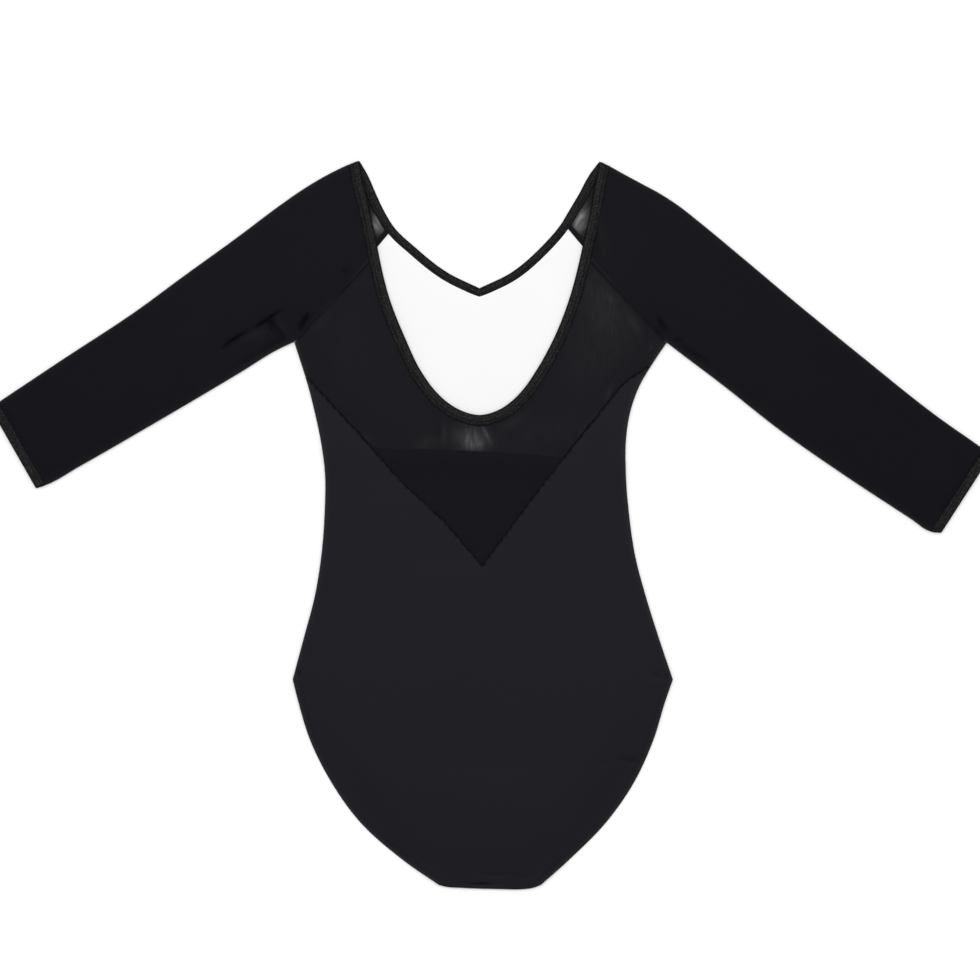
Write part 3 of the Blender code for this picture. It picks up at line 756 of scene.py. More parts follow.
# Folds of the upper layer: curved ones under the left arm, short ones at the right, small
# tucks beside both hips and the right leg, faint ones over the waist and seat, and the
# pinched crotch fold
CREASES = [
    Crease((-244.5, 498.0), (-238.0, 510.0), (-215.0, 520.5), 1.9, -1.2),
    Crease((-215.0, 519.5), (-201.0, 529.0), (-184.0, 540.0), 1.9, -1.35),
    Crease((-238.0, 494.5), (-224.0, 509.0), (-200.0, 522.0), 2.4, 0.45),
    Crease((-200.0, 531.0), (-193.5, 519.5), (-184.5, 509.5), 2.6, -1.8),
    Crease((-193.0, 530.0), (-187.0, 521.0), (-180.0, 513.0), 2.4, 0.6),
    Crease((-197.0, 530.5), (-191.0, 532.0), (-185.0, 531.0), 1.6, 0.6),
    Crease((-222.0, 510.0), (-209.0, 512.0), (-198.0, 518.0), 5.0, 0.5),
    Crease((-161.0, 537.5), (-167.0, 527.0), (-172.5, 517.0), 2.0, -1.6),
    Crease((-165.0, 532.0), (-168.0, 525.0), (-169.5, 519.0), 1.6, -0.7),
    Crease((-165.0, 517.0), (-154.0, 531.0), (-142.0, 543.0), 3.4, 0.5),
    Crease((-147.0, 540.0), (-141.0, 546.0), (-133.0, 548.0), 2.6, 0.6),
    Crease((-208.0, 499.0), (-193.0, 508.0), (-180.0, 515.0), 1.4, -1.3),
    Crease((-236.0, 482.0), (-221.0, 491.5), (-209.0, 498.5), 1.4, -0.9),
    Crease((-131.0, 572.0), (-129.0, 574.5), (-127.0, 577.5), 1.2, -0.9),
    Crease((161.5, 533.0), (168.5, 522.0), (173.5, 513.0), 2.0, -1.5),
    Crease((167.0, 532.0), (173.5, 524.0), (178.0, 516.0), 2.2, 0.5),
    Crease((158.0, 522.0), (164.0, 516.0), (170.0, 512.5), 2.4, -0.7),
    Crease((177.5, 511.5), (181.5, 509.5), (185.5, 511.0), 1.6, -1.2),
    Crease((180.0, 507.5), (196.0, 498.5), (214.0, 486.5), 1.4, -1.2),
    Crease((146.0, 503.0), (152.0, 497.0), (158.0, 494.0), 2.0, -0.5),
    Crease((98.0, 640.0), (104.0, 612.0), (106.0, 584.0), 3.0, -0.4),
    Crease((104.0, 640.0), (113.0, 610.0), (116.0, 572.0), 5.0, 0.6),
    Crease((88.0, 588.0), (95.0, 584.0), (101.0, 586.0), 1.6, -0.8),
    Crease((-92.5, 598.0), (-103.0, 640.0), (-112.0, 664.0), 1.2, -0.3),
    Crease((-176.0, 204.5), (-171.0, 200.5), (-167.0, 197.0), 1.7, -1.0),
    Crease((-172.0, 208.0), (-164.0, 204.0), (-156.0, 203.0), 2.0, 0.4),
    Crease((157.0, 199.0), (166.0, 198.0), (175.0, 199.0), 1.7, -1.0),
    Crease((150.0, 193.0), (160.0, 192.0), (170.0, 192.0), 3.0, 0.4),
    Crease((124.0, 121.5), (137.0, 120.5), (151.0, 118.5), 2.4, -0.75),
    Crease((110.0, 119.0), (115.0, 118.0), (121.0, 118.5), 2.4, -0.5),
    Crease((-41.0, 437.0), (-43.5, 426.0), (-41.0, 412.0), 1.3, -0.7),
    Crease((-38.0, 436.0), (-40.0, 426.0), (-38.0, 414.0), 1.3, 0.5),
    Crease((-120.0, 300.0), (-40.0, 288.0), (40.0, 296.0), 14.0, 0.15),
    Crease((-20.0, 210.0), (50.0, 222.0), (120.0, 205.0), 15.0, 0.15),
    Crease((-80.0, 110.0), (0.0, 96.0), (70.0, 108.0), 13.0, 0.15),
    Crease((-24.0, 5.4), (-2.0, 5.0), (20.0, 5.4), 1.4, -0.95),
    Crease((-6.0, 14.8), (12.0, 13.6), (30.0, 14.0), 2.2, -0.6),
    Crease((28.0, 12.6), (38.0, 11.4), (48.0, 12.2), 1.6, -0.5),
]


def sleeve_points(sleeve, rows):
    """Rows of a sleeve's table as points on the floor."""
    tip, wrist = np.array(sleeve.tip), np.array(sleeve.wrist)
    along = unit(wrist - tip)
    out = np.array([along[1], -along[0]]) * sleeve.turn
    return [Point(*(tip + along * row.along + out * row.out)) for row in rows]


upper_left = sleeve_points(SLEEVE_LEFT, SLEEVE_LEFT.upper)
upper_right = sleeve_points(SLEEVE_RIGHT, SLEEVE_RIGHT.upper)
back_leg_left = leg_line(BACK_LEG, "left", BACK_LEG_FACES, CROTCH_CROWD)
back_leg_right = leg_line(BACK_LEG, "right", BACK_LEG_FACES, CROTCH_CROWD)
yoke_left_end = side_line("left", YOKE_SEAM_LEFT_END, hip, 1)[0]
yoke_right_end = side_line("right", YOKE_SEAM_RIGHT_END, hip, 1)[0]


def yoke_arms(faces):
    """The V seam, drawn a little up and down by its puckers: two waves of x of unlike length."""
    left = smooth([yoke_left_end, *YOKE_SEAM_LEFT, YOKE_SEAM_POINT], faces=faces)
    right = smooth([YOKE_SEAM_POINT, *YOKE_SEAM_RIGHT, yoke_right_end], faces=faces)
    line = np.vstack([left, right[1:]])
    turn = 2 * math.pi / WOBBLE_PITCH
    wave = np.sin(turn * line[:, 0]) * np.sin(0.41 * turn * line[:, 0] + 1.3)
    line[1:-1, 1] += WOBBLE * wave[1:-1]
    return line


yoke_seam = yoke_arms(YOKE_ARM_FACES)
seam_guide = yoke_seam[::5]

# The garment's whole outline, with a few points on each stretch
outline = [
    side_line("left", SIDES[0].y, hip, 16),
    side_line("right", SIDES[0].y, hip, 16),
    leg_line(BACK_LEG, "left", 12),
    leg_line(BACK_LEG, "right", 12),
    pair(CROTCH),
    pair(BACK_NECK),
    pair(upper_left),
    pair(upper_right),
    pair(sleeve_points(SLEEVE_LEFT, SLEEVE_LEFT.lower)),
    pair(sleeve_points(SLEEVE_RIGHT, SLEEVE_RIGHT.lower)),
]


def folds(points):
    """The creases, which fade out at the garment's edges."""
    near = np.min([near_line(points, line)[0] for line in outline], axis=0)
    return creased(points, CREASES) * ease(near / EDGE_FADE)


def puff(points):
    """How far the upper layer is lifted: nothing at the garment's edges and more inside,
    with the creases added."""
    near = np.min([near_line(points, line)[0] for line in outline], axis=0)
    return PUFF * ease(near / PUFF_REACH) + folds(points)


def seam_tone(points):
    """How strongly the V seam is drawn as a black line at each point: a narrow line, stronger and weaker
    along it.
    """
    away, along = near_line(points, seam_guide)
    wave = 0.5 + 0.5 * np.sin(0.83 * along + 2.0 * np.sin(0.071 * along))
    return SEAM_TONE * wave * np.exp(-((away / SEAM_TONE_WIDTH) ** 2))


def puckered(points, line, dip, along_shift=0.0):
    """A sewn seam: a narrow dip along the line, and small puckers beside it whose pitch
    drifts, from two waves of unlike length."""
    away, along = near_line(points, line)
    turn = 2 * math.pi / PUCKER_PITCH
    wave = np.sin(turn * along + 2.0 * np.sin(0.031 * along + along_shift)) * np.sin(0.093 * along + 1.0)
    puckers = PUCKER_RISE * wave * np.exp(-((away / PUCKER_WIDTH) ** 2))
    return puckers - dip * np.exp(-((away / SEAM_DIP_WIDTH) ** 2))


def back_height(points):
    """The middle of the upper layer on the body: over the front, over the lining as well
    above its lower edge, and down to the table outside the front's leg edge."""
    x, y = points[..., 0], points[..., 1]
    edge = pair(LINING_EDGE)
    below = np.interp(x, edge[:, 0], edge[:, 1]) - y
    lined = ease((LINING_STEP[1] - below) / (LINING_STEP[1] - LINING_STEP[0]))
    left = np.interp(y, front_leg_left[::-1, 1], front_leg_left[::-1, 0])
    right = np.interp(y, front_leg_right[::-1, 1], front_leg_right[::-1, 0])
    outside = ((x < left) | (x > right)) & (y < hip)
    legs = [near_line(points, line[::6])[0] for line in (front_leg_left, front_leg_right)]
    seated = 1 - ease((np.min(legs, axis=0) * outside - LEG_STEP[0]) / (LEG_STEP[1] - LEG_STEP[0]))
    return LOW + SEAT * seated + SEAT * lined + puff(points) + puckered(points, seam_guide, SEAM_DIP)


def make_back_panel():
    sides = [
        side_line("left", YOKE_SEAM_LEFT_END, hip, BACK_SIDE_FACES, TOP_CROWD),
        side_line("right", YOKE_SEAM_RIGHT_END, hip, BACK_SIDE_FACES, TOP_CROWD),
    ]
    grid = body_grid(yoke_seam, sides, [back_leg_left, back_leg_right])
    hem = [near_line(grid, line[::5])[0] for line in (back_leg_left, back_leg_right)]
    fold = 1 - ease((np.min(hem, axis=0) - HEM_WIDTH) / HEM_STEP + 0.5)
    off = [(near_line(grid, line[::4])[0] - SIDE_ROLL_INSET) / SIDE_ROLL_WIDTH for line in sides]
    roll = [np.exp(-(away**2)) for away in off]
    height = back_height(grid) + HEM_RISE * fold + SIDE_ROLL * sum(roll)
    piece = cloth("back_body", lifted(grid, height), WALL / 2, jersey("back_jersey"))
    mark_painted_light(piece, grid, [*sides, back_leg_left, back_leg_right], folds(grid), seam_tone(grid))
    put_on(piece, "body_knit", "back_panel")


make_back_panel()

# Back yoke: sheer black stretch net between the V seam, the raglan seams and the neck. The
# white lining under it makes it a little paler, most of all where it is stretched.
BINDING_BACK = 10.4
SCOOP_FACES = (22, 78, 78, 22)
SHOULDER_FACES = 36
RAGLAN_FACES = 80
YOKE_SIDE_FACES = 12
NET_YARN = (0.0040, 0.0035, 0.0064)
NET_PALE = (0.0056, 0.0050, 0.0080)
NET_PITCH = 0.0013
YOKE_FILM = 0.775
STREAK_SCALE = (380.0, 70.0, 55.0)

Thin = namedtuple("Thin", "centre angle length width drop")

# Where the yoke is stretched thin: the middle and the slant of each place, its reach along
# and across that slant, and how much of the net's cover is lost
THIN_PLACES = [
    Thin((-10.0, 418.0), 90.0, 13.0, 14.0, 0.25),
    Thin((-4.0, 414.0), 0.0, 12.0, 5.0, 0.08),
    Thin((3.5, 423.0), 118.0, 10.0, 1.6, 0.16),
    Thin((-24.0, 424.0), 80.0, 12.0, 7.0, 0.05),
    Thin((-50.0, 415.0), 20.0, 15.0, 6.0, 0.08),
    Thin((-36.0, 424.0), 88.0, 11.0, 2.0, 0.08),
    Thin((-107.0, 418.0), -35.0, 9.0, 4.0, 0.05),
    Thin((27.0, 434.0), 30.0, 13.0, 5.0, 0.07),
    Thin((60.0, 425.0), 10.0, 40.0, 16.0, 0.035),
    Thin((101.8, 435.0), 62.0, 8.0, 2.4, 0.10),
    Thin((92.0, 426.0), 60.0, 7.0, 2.2, 0.07),
    Thin((117.0, 461.0), 72.0, 9.0, 2.4, 0.08),
    Thin((112.0, 546.0), 120.0, 44.0, 22.0, 0.08),
    Thin((118.0, 549.0), 128.0, 7.0, 3.0, 0.06),
    Thin((141.0, 524.0), 122.0, 12.0, 4.0, 0.07),
    Thin((104.0, 500.0), 95.0, 48.0, 30.0, 0.045),
    Thin((156.0, 503.0), 70.0, 4.0, 2.2, 0.09),
    Thin((-150.0, 527.0), 50.0, 14.0, 5.0, 0.04),
    Thin((-130.0, 505.0), 100.0, 40.0, 18.0, 0.02),
]


def thinned(points, places):
    """How much cover the net loses at each point: the sum of bells, each exp(-(along /
    length)² - (across / width)²) times its drop."""
    lost = np.zeros(points.shape[:-1])
    for place in places:
        turn = math.radians(place.angle)
        offset = points - place.centre
        along = offset[..., 0] * math.cos(turn) + offset[..., 1] * math.sin(turn)
        across = offset[..., 1] * math.cos(turn) - offset[..., 0] * math.sin(turn)
        lost += place.drop * np.exp(-((along / place.length) ** 2) - (across / place.width) ** 2)
    return lost


def net(name, angle):
    """Fine net: two slanted sets of yarn waves, whose product leaves a small hole in each
    lozenge. The cover read from the piece is a little less in the holes, and less again where
    the net is strained, in uneven streaks down the cloth."""
    finish = Finish(name, NET_YARN, 0.5, gloss=0.055, sheen=0.01)
    where, along, across = finish.place(angle)
    rise = finish.wave((along + across) / NET_PITCH) * finish.wave((along - across) / NET_PITCH)
    cover = finish.mark("cover")
    strain = finish.mark("strain")
    broad = finish.cloud(where, 12.0)
    drawn = finish.node("ShaderNodeMapping", {}, {"Vector": where, "Scale": STREAK_SCALE})
    streak = finish.ramp(finish.cloud(drawn, 1.0, 3.0), 0.3, 0.7)
    # Base colour: the yarn's two tones, with painted sheen, painted highlight and painted shade.
    finish.feed("Base Color", painted_sheen_and_shade(finish, NET_YARN, NET_PALE, broad))
    painted_shade_and_seams = finish.mark("painted_shade_and_seams")
    finish.feed("Roughness", broad * 0.1 + painted_shade_and_seams * 0.4 + 0.46)
    finish.feed("Alpha", cover - strain * (streak * 0.6 + 0.7) - (rise - 0.25) * 0.05)
    finish.relief(1.0 - rise, 0.00004)
    return finish


neck_faces = [SHOULDER_FACES, *SCOOP_FACES, SHOULDER_FACES]
back_edge = smooth(BACK_NECK, stops=[4, 6, 11, 16, 18, 22], faces=neck_faces)
back_seam = beside(back_edge, TUCK - BINDING_BACK)
back_scoop = back_seam[SHOULDER_FACES:-SHOULDER_FACES]
back_raglan_left = np.linspace(back_scoop[0], underarm_left, RAGLAN_FACES + 1)
back_raglan_right = np.linspace(back_scoop[-1], underarm_right, RAGLAN_FACES + 1)
raglan_guides = [back_raglan_left[::15], back_raglan_right[::15]]


def raglan_puckers(points, guides):
    return sum(puckered(points, line, RAGLAN_DIP, RAGLAN_SHIFT) for line in guides) * RAGLAN_SHARE


def make_yoke():
    side_left = side_line("left", SIDES[0].y, YOKE_SEAM_LEFT_END, YOKE_SIDE_FACES)
    side_right = side_line("right", SIDES[0].y, YOKE_SEAM_RIGHT_END, YOKE_SIDE_FACES)
    arm = (len(back_scoop) - 1) // 2 - YOKE_SIDE_FACES
    bottom = np.vstack([side_left, yoke_arms(arm)[1:-1], side_right[::-1]])
    grid = shrunk(patch(back_scoop, bottom, back_raglan_left, back_raglan_right), HALF)
    height = back_height(grid) + raglan_puckers(grid, raglan_guides)
    piece = cloth("back_net", lifted(grid, height), WALL / 2, net("yoke_net", 0.0))
    marked(piece, "cover", np.full(grid.shape[:-1], YOKE_FILM))
    marked(piece, "strain", thinned(grid, THIN_PLACES))
    mark_painted_light(piece, grid, [side_left, side_right], folds(grid), seam_tone(grid))
    put_on(piece, "mesh", "back_yoke")


make_yoke()

# Inside seams: the yoke is overlocked to the back panel and to the sleeves, and the front
# to the sleeves. Black thread wraps each cut edge in close slanted loops, which show inside
# the neck, where the front seams end at the neck elastic.
THREAD = (0.0045, 0.0040, 0.0065)
TAPE_WALL = 0.25
TAPE_WIDTH = 2.8
FRONT_TAPE_WIDTH = 4.8
TAPE_COLUMNS = 5
TAPE_SINK = 0.04
LOOP_PITCH = 1.5
LOOP_THICK = 0.34
LOOP_LEAN = 0.5
LOOP_OVERHANG = 0.5
FRONT_TAPE_HEIGHT = 2.45


def across_bands(inner, outer, columns):
    """Points from the inner line to the outer line, in even steps."""
    share = np.linspace(0.0, 1.0, columns)[None, :, None]
    return inner[:, None] * (1 - share) + outer[:, None] * share


def thread(name):
    finish = Finish(name, THREAD, 0.75, gloss=0.08, sheen=0.02)
    fuzz = finish.cloud(finish.place()[0], 700.0)
    finish.feed("Base Color", finish.tinted(fuzz, THREAD, NET_PALE))
    finish.feed("Roughness", fuzz * 0.2 + 0.65)
    finish.relief(fuzz, 0.00008)
    return finish


def spaced(line, pitch):
    """Points a pitch apart along a line, and the unit direction of the line at each."""
    at = np.concatenate([[0.0], np.cumsum(steps(line))])
    wanted = np.arange(pitch / 2, at[-1], pitch)
    places = np.column_stack([np.interp(wanted, at, line[:, k]) for k in range(line.shape[1])])
    ahead = np.column_stack([np.interp(wanted + 0.1, at, line[:, k]) for k in range(line.shape[1])])
    behind = np.column_stack([np.interp(wanted - 0.1, at, line[:, k]) for k in range(line.shape[1])])
    return places, unit(ahead - behind)


def grains(name, places, long, wide, size, finish):
    """Many small stitches as one mesh. Each is a short round bead: rings of four corners along
    its length, as wide as the root of 1 - t², closed to a point at both ends. long and wide
    are its two level directions, and size its three half lengths."""
    t = np.array([-0.8, 0.0, 0.8])
    ring = np.array([(1.0, 0.0), (0.0, 1.0), (-1.0, 0.0), (0.0, -1.0)])
    girth = np.sqrt(1 - t**2)[:, None, None] * ring[None]
    shape = np.concatenate([np.broadcast_to(t[:, None, None], (3, 4, 1)), girth], axis=2).reshape(-1, 3)
    shape = np.vstack([shape, [(-1.0, 0.0, 0.0), (1.0, 0.0, 0.0)]]) * size
    up = np.tile([0.0, 0.0, 1.0], (len(places), 1))
    axes = np.stack([lifted(long, 0.0), lifted(wide, 0.0), up], axis=1)
    points = (places[:, None] + np.einsum("kc,ncd->nkd", shape, axes)).reshape(-1, 3)
    corner = np.arange(4)
    after = (corner + 1) % 4
    belt = np.stack([corner, after, after + 4, corner + 4], 1)
    belts = [belt, belt + 4]
    caps = [np.stack([after, corner, np.full(4, 12), np.full(4, 12)], 1)]
    caps.append(np.stack([corner + 8, after + 8, np.full(4, 13), np.full(4, 13)], 1))
    first = (np.arange(len(places)) * len(shape))[:, None, None]
    quads = (np.concatenate(belts)[None] + first).reshape(-1, 4)
    ends = (np.concatenate(caps)[None, :, :3] + first).reshape(-1, 3)
    mesh = bpy.data.meshes.new(name)
    points = (points - [*CENTRE, 0.0]) * MM
    points[:, 2] = np.maximum(points[:, 2], 0.0)
    mesh.from_pydata(points.tolist(), [], quads.tolist() + ends.tolist())
    mesh.shade_smooth()
    mesh.materials.append(finish.material)
    piece = bpy.data.objects.new(name, mesh)
    bpy.context.collection.objects.link(piece)
    return piece


def overlocked(name, line, width, height):
    """A flat tape of folded edges along a line, wrapped in slanted loops. height gives the
    middle of the tape at each point."""
    finish = thread(name + "_thread")
    grid = across_bands(beside(line, width / 2), beside(line, -width / 2), TAPE_COLUMNS)
    tape = cloth(name + "_tape", lifted(grid, height(grid)), TAPE_WALL / 2, finish)
    put_on(tape, "elastic")
    places, ahead = spaced(line, LOOP_PITCH)
    side = ahead[:, ::-1] * [-1.0, 1.0]
    lean = unit(side + ahead * LOOP_LEAN)
    across = lean[:, ::-1] * [1.0, -1.0]
    size = (width / 2 + LOOP_OVERHANG, LOOP_THICK, LOOP_THICK / 2)
    middle = lifted(places, height(places))
    loops = grains(name + "_loops", middle, lean, across, size, finish)
    put_on(loops, "elastic")


def under_back(points):
    """Just below the upper layer of the body."""
    return back_height(points) - WALL / 2 - TAPE_SINK - TAPE_WALL / 2


def under_raglan(points):
    return under_back(points) + raglan_puckers(points, raglan_guides)


def over_front(points):
    return np.full(points.shape[:-1], FRONT_TAPE_HEIGHT)


overlocked("yoke_seam", yoke_seam[1:-1:2], TAPE_WIDTH, under_back)
overlocked("back_raglan_seam_left", back_raglan_left[:-2], TAPE_WIDTH, under_raglan)
overlocked("back_raglan_seam_right", back_raglan_right[:-2], TAPE_WIDTH, under_raglan)
overlocked("front_raglan_seam_left", front_raglan_left[:-2], FRONT_TAPE_WIDTH, over_front)
overlocked("front_raglan_seam_right", front_raglan_right[:-2], FRONT_TAPE_WIDTH, over_front)

# Sleeves: the same net, each cut in one piece, folded along the top of the arm and sewn
# under it. Both layers lie flat on each other, and their ends go into the cuff.
SLEEVE_FACES = 200
FOLD_FACES = 8
SHOULDER_CROWD = (1.3, 1.0)
WRIST_TUCK = 1.2
SLEEVE_EDGE_FADE = 5.0
SLEEVE_FILM = 0.74
BARE_PLACES = [
    Thin((-98.6, 618.0), 115.0, 11.0, 8.0, 0.36),
    Thin((90.0, 622.0), 70.0, 14.0, 9.0, 0.38),
]
SLEEVE_HIGH = LOW + 2 * SEAT


def fold_direction(line, turn):
    """Which way is out of the garment along a folded edge."""
    ahead = unit(np.gradient(line, axis=0))
    return ahead[:, ::-1] * [1.0, -1.0] * turn


def turned(near, far, out, near_height, far_height):
    """Rows of points that carry an edge of the upper layer round a fold to the lower layer:
    half a circle, as far out as its sine and as high as its cosine."""
    angle = np.linspace(0.0, math.pi, FOLD_FACES + 1)[1:-1]
    share = (angle / math.pi)[None, :, None]
    radius = (near_height - far_height) / 2
    flat = near[:, None] * (1 - share) + far[:, None] * share
    flat = flat + out[:, None] * (radius[:, None] * np.sin(angle))[..., None]
    height = far_height[:, None] + radius[:, None] * (1 + np.cos(angle))
    return lifted(flat, height)


def make_sleeve(name, sleeve, back_line, front_line, raglan):
    """A flattened tube. back_line and front_line run from the fold at the shoulder to the
    underarm, on the upper and the lower layer."""
    turn = sleeve.turn
    cuff = len(sleeve.upper) - 2
    rows, crowd = sleeve_points(sleeve, sleeve.upper), SHOULDER_CROWD
    upper = smooth(rows, stops=[1, cuff], faces=[1, SLEEVE_FACES], crowd=crowd)[1:]
    rows = sleeve_points(sleeve, sleeve.lower)
    lower = smooth(rows, stops=[len(rows) - 2], faces=[SLEEVE_FACES], crowd=crowd)
    upper_out = fold_direction(upper, turn)
    lower_out = -fold_direction(lower, turn)
    lower_out[0] = unit(back_line[-1] - back_line[-2])
    upper_out[-1] = unit(upper[-1] - lower[-1])
    lower_out[-1] = -upper_out[-1]
    inset = SEAT + LOW
    ends = upper - upper_out * inset, lower - lower_out * inset
    layers = []
    for line in (back_line, front_line):
        line = line.copy()
        line[0], line[-1] = ends[0][0], ends[1][0]
        line = beside(line, HALF * -turn)
        left, right = ends[0].copy(), ends[1].copy()
        left[0], right[0] = line[0], line[-1]
        wrist = np.linspace(left[-1], right[-1], len(line))
        grid = patch(line, wrist, left, right)
        grid[-1] += unit(grid[-1] - grid[-2]) * WRIST_TUCK
        layers.append(grid)
    near, far = layers
    edges = near_line(near, upper[::10])[0], near_line(near, lower[::10])[0]
    inside = ease(np.minimum(*edges) / SLEEVE_EDGE_FADE)
    high = SLEEVE_HIGH + puff(near) + raglan_puckers(near, [raglan]) * inside
    high[:, 0] = high[:, -1] = high[-1] = SLEEVE_HIGH
    low = np.full(len(upper), LOW)
    ring = np.concatenate(
        [
            lifted(near, high),
            turned(near[:, -1], far[:, -1], lower_out, high[:, -1], low),
            lifted(far[:, ::-1], LOW),
            turned(near[:, 0], far[:, 0], upper_out, high[:, 0], low)[:, ::-1],
        ],
        axis=1,
    )
    along = unit(np.array(sleeve.wrist) - np.array(sleeve.tip))
    finish = net(name + "_net", -math.atan2(along[1], along[0]))
    piece = cloth(name + "_tube", ring, WALL / 2, finish, closed=True)
    bare = thinned(ring[..., :2], BARE_PLACES) * (ring[..., 2] <= LOW + 0.01)
    marked(piece, "cover", np.full(ring.shape[:-1], SLEEVE_FILM))
    marked(piece, "strain", bare)
    on_top = ring[..., 2] > SLEEVE_HIGH - 0.5
    mark_painted_light(piece, ring, [upper, lower], folds(ring[..., :2]) * on_top)
    put_on(piece, "mesh", name)


back_seam[0], back_seam[-1] = upper_left[1], upper_right[1]
front_seam[0], front_seam[-1] = upper_left[1], upper_right[1]
make_sleeve(
    "sleeve_left",
    SLEEVE_LEFT,
    np.vstack([back_seam[:SHOULDER_FACES], back_raglan_left]),
    np.vstack([front_seam[:FRONT_SHOULDER_FACES], front_raglan_left]),
    raglan_guides[0],
)
make_sleeve(
    "sleeve_right",
    SLEEVE_RIGHT,
    np.vstack([back_seam[: -SHOULDER_FACES - 1 : -1], back_raglan_right]),
    np.vstack([front_seam[: -FRONT_SHOULDER_FACES - 1 : -1], front_raglan_right]),
    raglan_guides[1],
)

# Neck elastic: one strip of black ribbed elastic, folded over the raw edge all round the
# neck and stitched near its outer side. Its ends meet in a mitre at the point of the front.
BINDING_WALL = 2.0
BINDING_COLUMNS = 22
RIB_PITCH = 0.0025
PICK_PITCH = 0.0016
ELASTIC = (0.0010, 0.0009, 0.0014)
ELASTIC_PALE = (0.0480, 0.0480, 0.0500)
GROOVE_SHARE = 0.66
MITRE = 3.4


def rounded(columns, wall, power=4.0, rim=0.25):
    """Half the wall's thickness across a band: half the wall times the root of 1 - s to a
    power, where s runs from -1 to 1, and no less than a share of it at its rims, less a
    narrow groove where the stitches pull it in."""
    s = np.linspace(-1.0, 1.0, columns)
    groove = 0.3 * np.exp(-(((s - 2 * GROOVE_SHARE + 1) / 0.1) ** 2))
    return wall / 2 * np.maximum((1 - np.abs(s) ** power) ** 0.5, rim) * (1 - groove)


def elastic(name):
    """Ribs along the band and finer picks across them, from the band's own measure, with a mottled grain
    in the yarn. The ribs carry a faint painted shade between them, painted shade darkens both rims and the
    groove, and any seam across is a black line."""
    finish = Finish(name, ELASTIC, 0.6, gloss=0.07, sheen=0.01)
    run = finish.mark("run")
    side = finish.mark("side")
    where = finish.place()[0]
    ribs = finish.wave(side / RIB_PITCH + 0.25)
    picks = finish.wave(run / PICK_PITCH)
    fuzz = finish.ramp(finish.cloud(where, 620.0, 3.0), 0.48, 0.72)
    painted_shade_and_seams = finish.mark("painted_shade_and_seams")
    # The rib wave in the colour is painted shade between the ribs. The light flecks are the yarn's grain,
    # and they are taken out where the rims and groove carry painted shade.
    share = (ribs * 0.11 + picks * 0.04 + fuzz * 0.55) * (1.0 - painted_shade_and_seams)
    finish.feed("Base Color", finish.tinted(share, ELASTIC, ELASTIC_PALE))
    finish.feed("Roughness", fuzz * 0.15 + painted_shade_and_seams * 0.35 + 0.5)
    finish.relief(ribs * 0.6 + picks * 0.25 + fuzz * 0.15, 0.00022)
    return finish


def measured(piece, run, side, seam):
    """Keeps how far along the band and across it each point lies, in metres, and how much darker it is:
    exp(-(distance / width)²) about both rims and the groove, as painted shade, and about any seam across,
    as its black line."""
    marked(piece, "run", run * MM)
    marked(piece, "side", side * MM)
    width = side.max()
    # Painted shade along both rims and in the groove. The seam across is a black line.
    rims = np.exp(-(((side - 0.2) / 0.75) ** 2)) + np.exp(-(((width - 0.2 - side) / 0.75) ** 2))
    groove = 0.55 * np.exp(-(((side - GROOVE_SHARE * width) / 0.5) ** 2))
    marked(piece, "painted_shade_and_seams", np.clip(rims + groove + seam, 0.0, 1.0))


def make_neck_elastic():
    low = BINDING_WALL / 2
    high = 2 * SEAT + low
    inset = (high - low) / 2 + BINDING_WALL / 2
    bands = []
    for edge, width in ((back_edge, BINDING_BACK), (front_edge, BINDING_FRONT)):
        outer = beside(edge, HALF - width)
        inner = edge.copy()
        for end, fold in ((0, upper_left), (-1, upper_right)):
            following = 1 if end == 0 else -2
            along = unit(np.array(fold[1]) - np.array(fold[0]))
            out = np.array([along[1], -along[0]]) * (1 if end == 0 else -1)
            down = unit(edge[following] - edge[end])
            inner[end] = edge[end] + down * inset / abs(np.dot(down, out))
            outer[end] = np.array(fold[1]) - along * HALF - out * inset
        bands.append(across_bands(inner, outer, BINDING_COLUMNS))
    back, front = bands
    folds = []
    for end, fold, turn in ((-1, upper_right, -1), (0, upper_left, 1)):
        along = unit(np.array(fold[1]) - np.array(fold[0]))
        out = np.tile(np.array([along[1], -along[0]]) * turn, (BINDING_COLUMNS, 1))
        levels = np.full(BINDING_COLUMNS, high), np.full(BINDING_COLUMNS, low)
        folds.append(turned(back[end], front[end], out, *levels).transpose(1, 0, 2))
    ring = np.concatenate([lifted(back, high), folds[0], lifted(front[::-1], low), folds[1][::-1]])
    half = rounded(BINDING_COLUMNS, BINDING_WALL)[None]
    piece = cloth("neck_elastic", ring, half, elastic("neck_ribbed"), around=True)
    run = np.concatenate([[0.0], np.cumsum(steps(ring[:, 0]))])
    side = np.linspace(0.0, BINDING_BACK, BINDING_COLUMNS)
    gap = np.abs(ring[..., 0] - FRONT_NECK_RIGHT[0].x)
    mitre = np.exp(-(((gap - MITRE) / 0.6) ** 2)) * (ring[..., 1] < 600.0) * (ring[..., 2] < SEAT + LOW)
    measured(piece, *np.broadcast_arrays(run[:, None], side[None], mitre))
    put_on(piece, "elastic", "neck_binding")


make_neck_elastic()

# Cuffs: a short band of the same elastic at the end of each sleeve, sewn on all round.
CUFF_WALL = 1.8
CUFF_COLUMNS = 22
CUFF_AROUND = 44


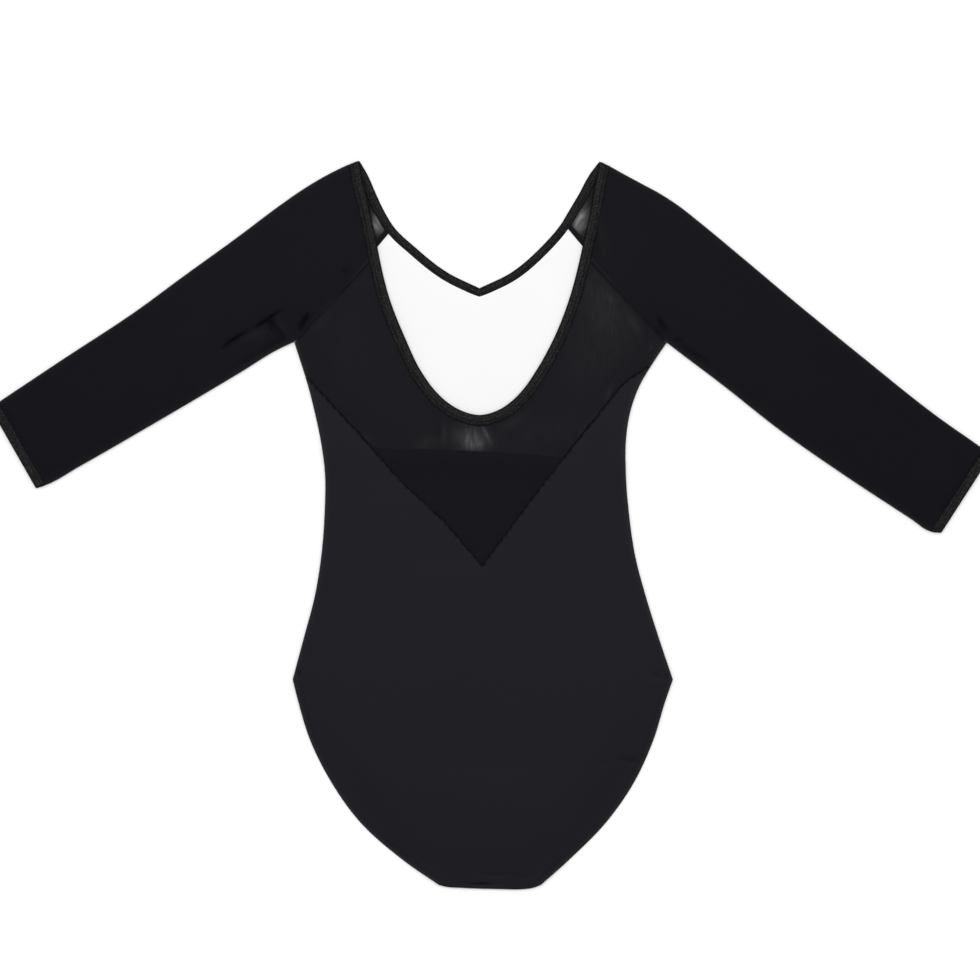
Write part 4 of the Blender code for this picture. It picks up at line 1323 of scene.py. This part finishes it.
def make_cuff(name, node, sleeve, flat):
    """A short flattened tube of elastic at the end of a sleeve."""
    lines = []
    for rows in (sleeve.upper, sleeve.lower):
        points = sleeve_points(sleeve, rows)
        last = len(points) - 1
        line = smooth(points, stops=[last - 1, last], faces=[1, CUFF_COLUMNS])[1:]
        line[0] += unit(line[1] - line[0]) * HALF
        lines.append(line)
    upper, lower = lines
    upper_out = unit(upper - lower)
    low, high = CUFF_WALL / 2, SLEEVE_HIGH
    inset = (high - low) / 2 + CUFF_WALL / 2
    top, bottom = upper - upper_out * inset, lower + upper_out * inset
    layer = across_bands(top, bottom, CUFF_AROUND)
    ones = np.ones(len(upper))
    ring = np.concatenate(
        [
            lifted(layer, high),
            turned(bottom, bottom, -upper_out, high * ones, low * ones),
            lifted(layer[:, ::-1], low),
            turned(top, top, upper_out, high * ones, low * ones)[:, ::-1],
        ],
        axis=1,
    )
    half = rounded(len(upper), CUFF_WALL)[:, None]
    piece = cloth(name, ring, half, elastic(name + "_ribbed"), closed=True)
    run = np.concatenate([[0.0], np.cumsum(steps(ring[0]))])
    side = np.linspace(flat[0] / MM, 0.0, len(upper))
    measured(piece, *np.broadcast_arrays(run[None], side[:, None], np.zeros((len(side), len(run)))))
    put_on(piece, "elastic", node)


make_cuff("cuff_band_left", "cuff_left", SLEEVE_LEFT, (0.0103, 0.186))
make_cuff("cuff_band_right", "cuff_right", SLEEVE_RIGHT, (0.0103, 0.186))

# Topstitching: black thread in small stitches. One row holds the neck elastic near its
# outer side, at the back and at the front, and two hold the turned hem of each leg edge.
STITCH_PITCH = 2.6
STITCH_HALF = (0.95, 0.22, 0.16)
HEM_STITCHES = {"outer": 5.2, "inner": 7.4}
BACK_STITCH_INSET = 2.6
FRONT_STITCH_INSET = 2.2
BACK_STITCH_HEIGHT = 4.55
FRONT_STITCH_HEIGHT = 1.95


def stitched(name, line, height):
    """A row of stitches on a line. height gives the surface under each stitch."""
    places, ahead = spaced(line, STITCH_PITCH)
    side = ahead[:, ::-1] * [-1.0, 1.0]
    tops = lifted(places, height(places))
    row = grains(name, tops, ahead, side, STITCH_HALF, thread(name + "_thread"))
    put_on(row, "elastic")


def over_hem(points):
    return back_height(points) + HEM_RISE + WALL / 2


def over_band(height):
    return lambda points: np.full(points.shape[:-1], height)


for side, leg in (("left", back_leg_left), ("right", back_leg_right)):
    turn = 1 if side == "left" else -1
    for row, inset in HEM_STITCHES.items():
        stitched(f"leg_stitches_{side}_{row}", beside(leg, inset * turn)[2:-2], over_hem)
back_row = beside(back_edge, BACK_STITCH_INSET - BINDING_BACK)[2:-2]
front_row = beside(front_edge, FRONT_STITCH_INSET - BINDING_FRONT)[8:-8]
stitched("neck_stitches_back", back_row, over_band(BACK_STITCH_HEIGHT))
stitched("neck_stitches_front", front_row, over_band(FRONT_STITCH_HEIGHT))
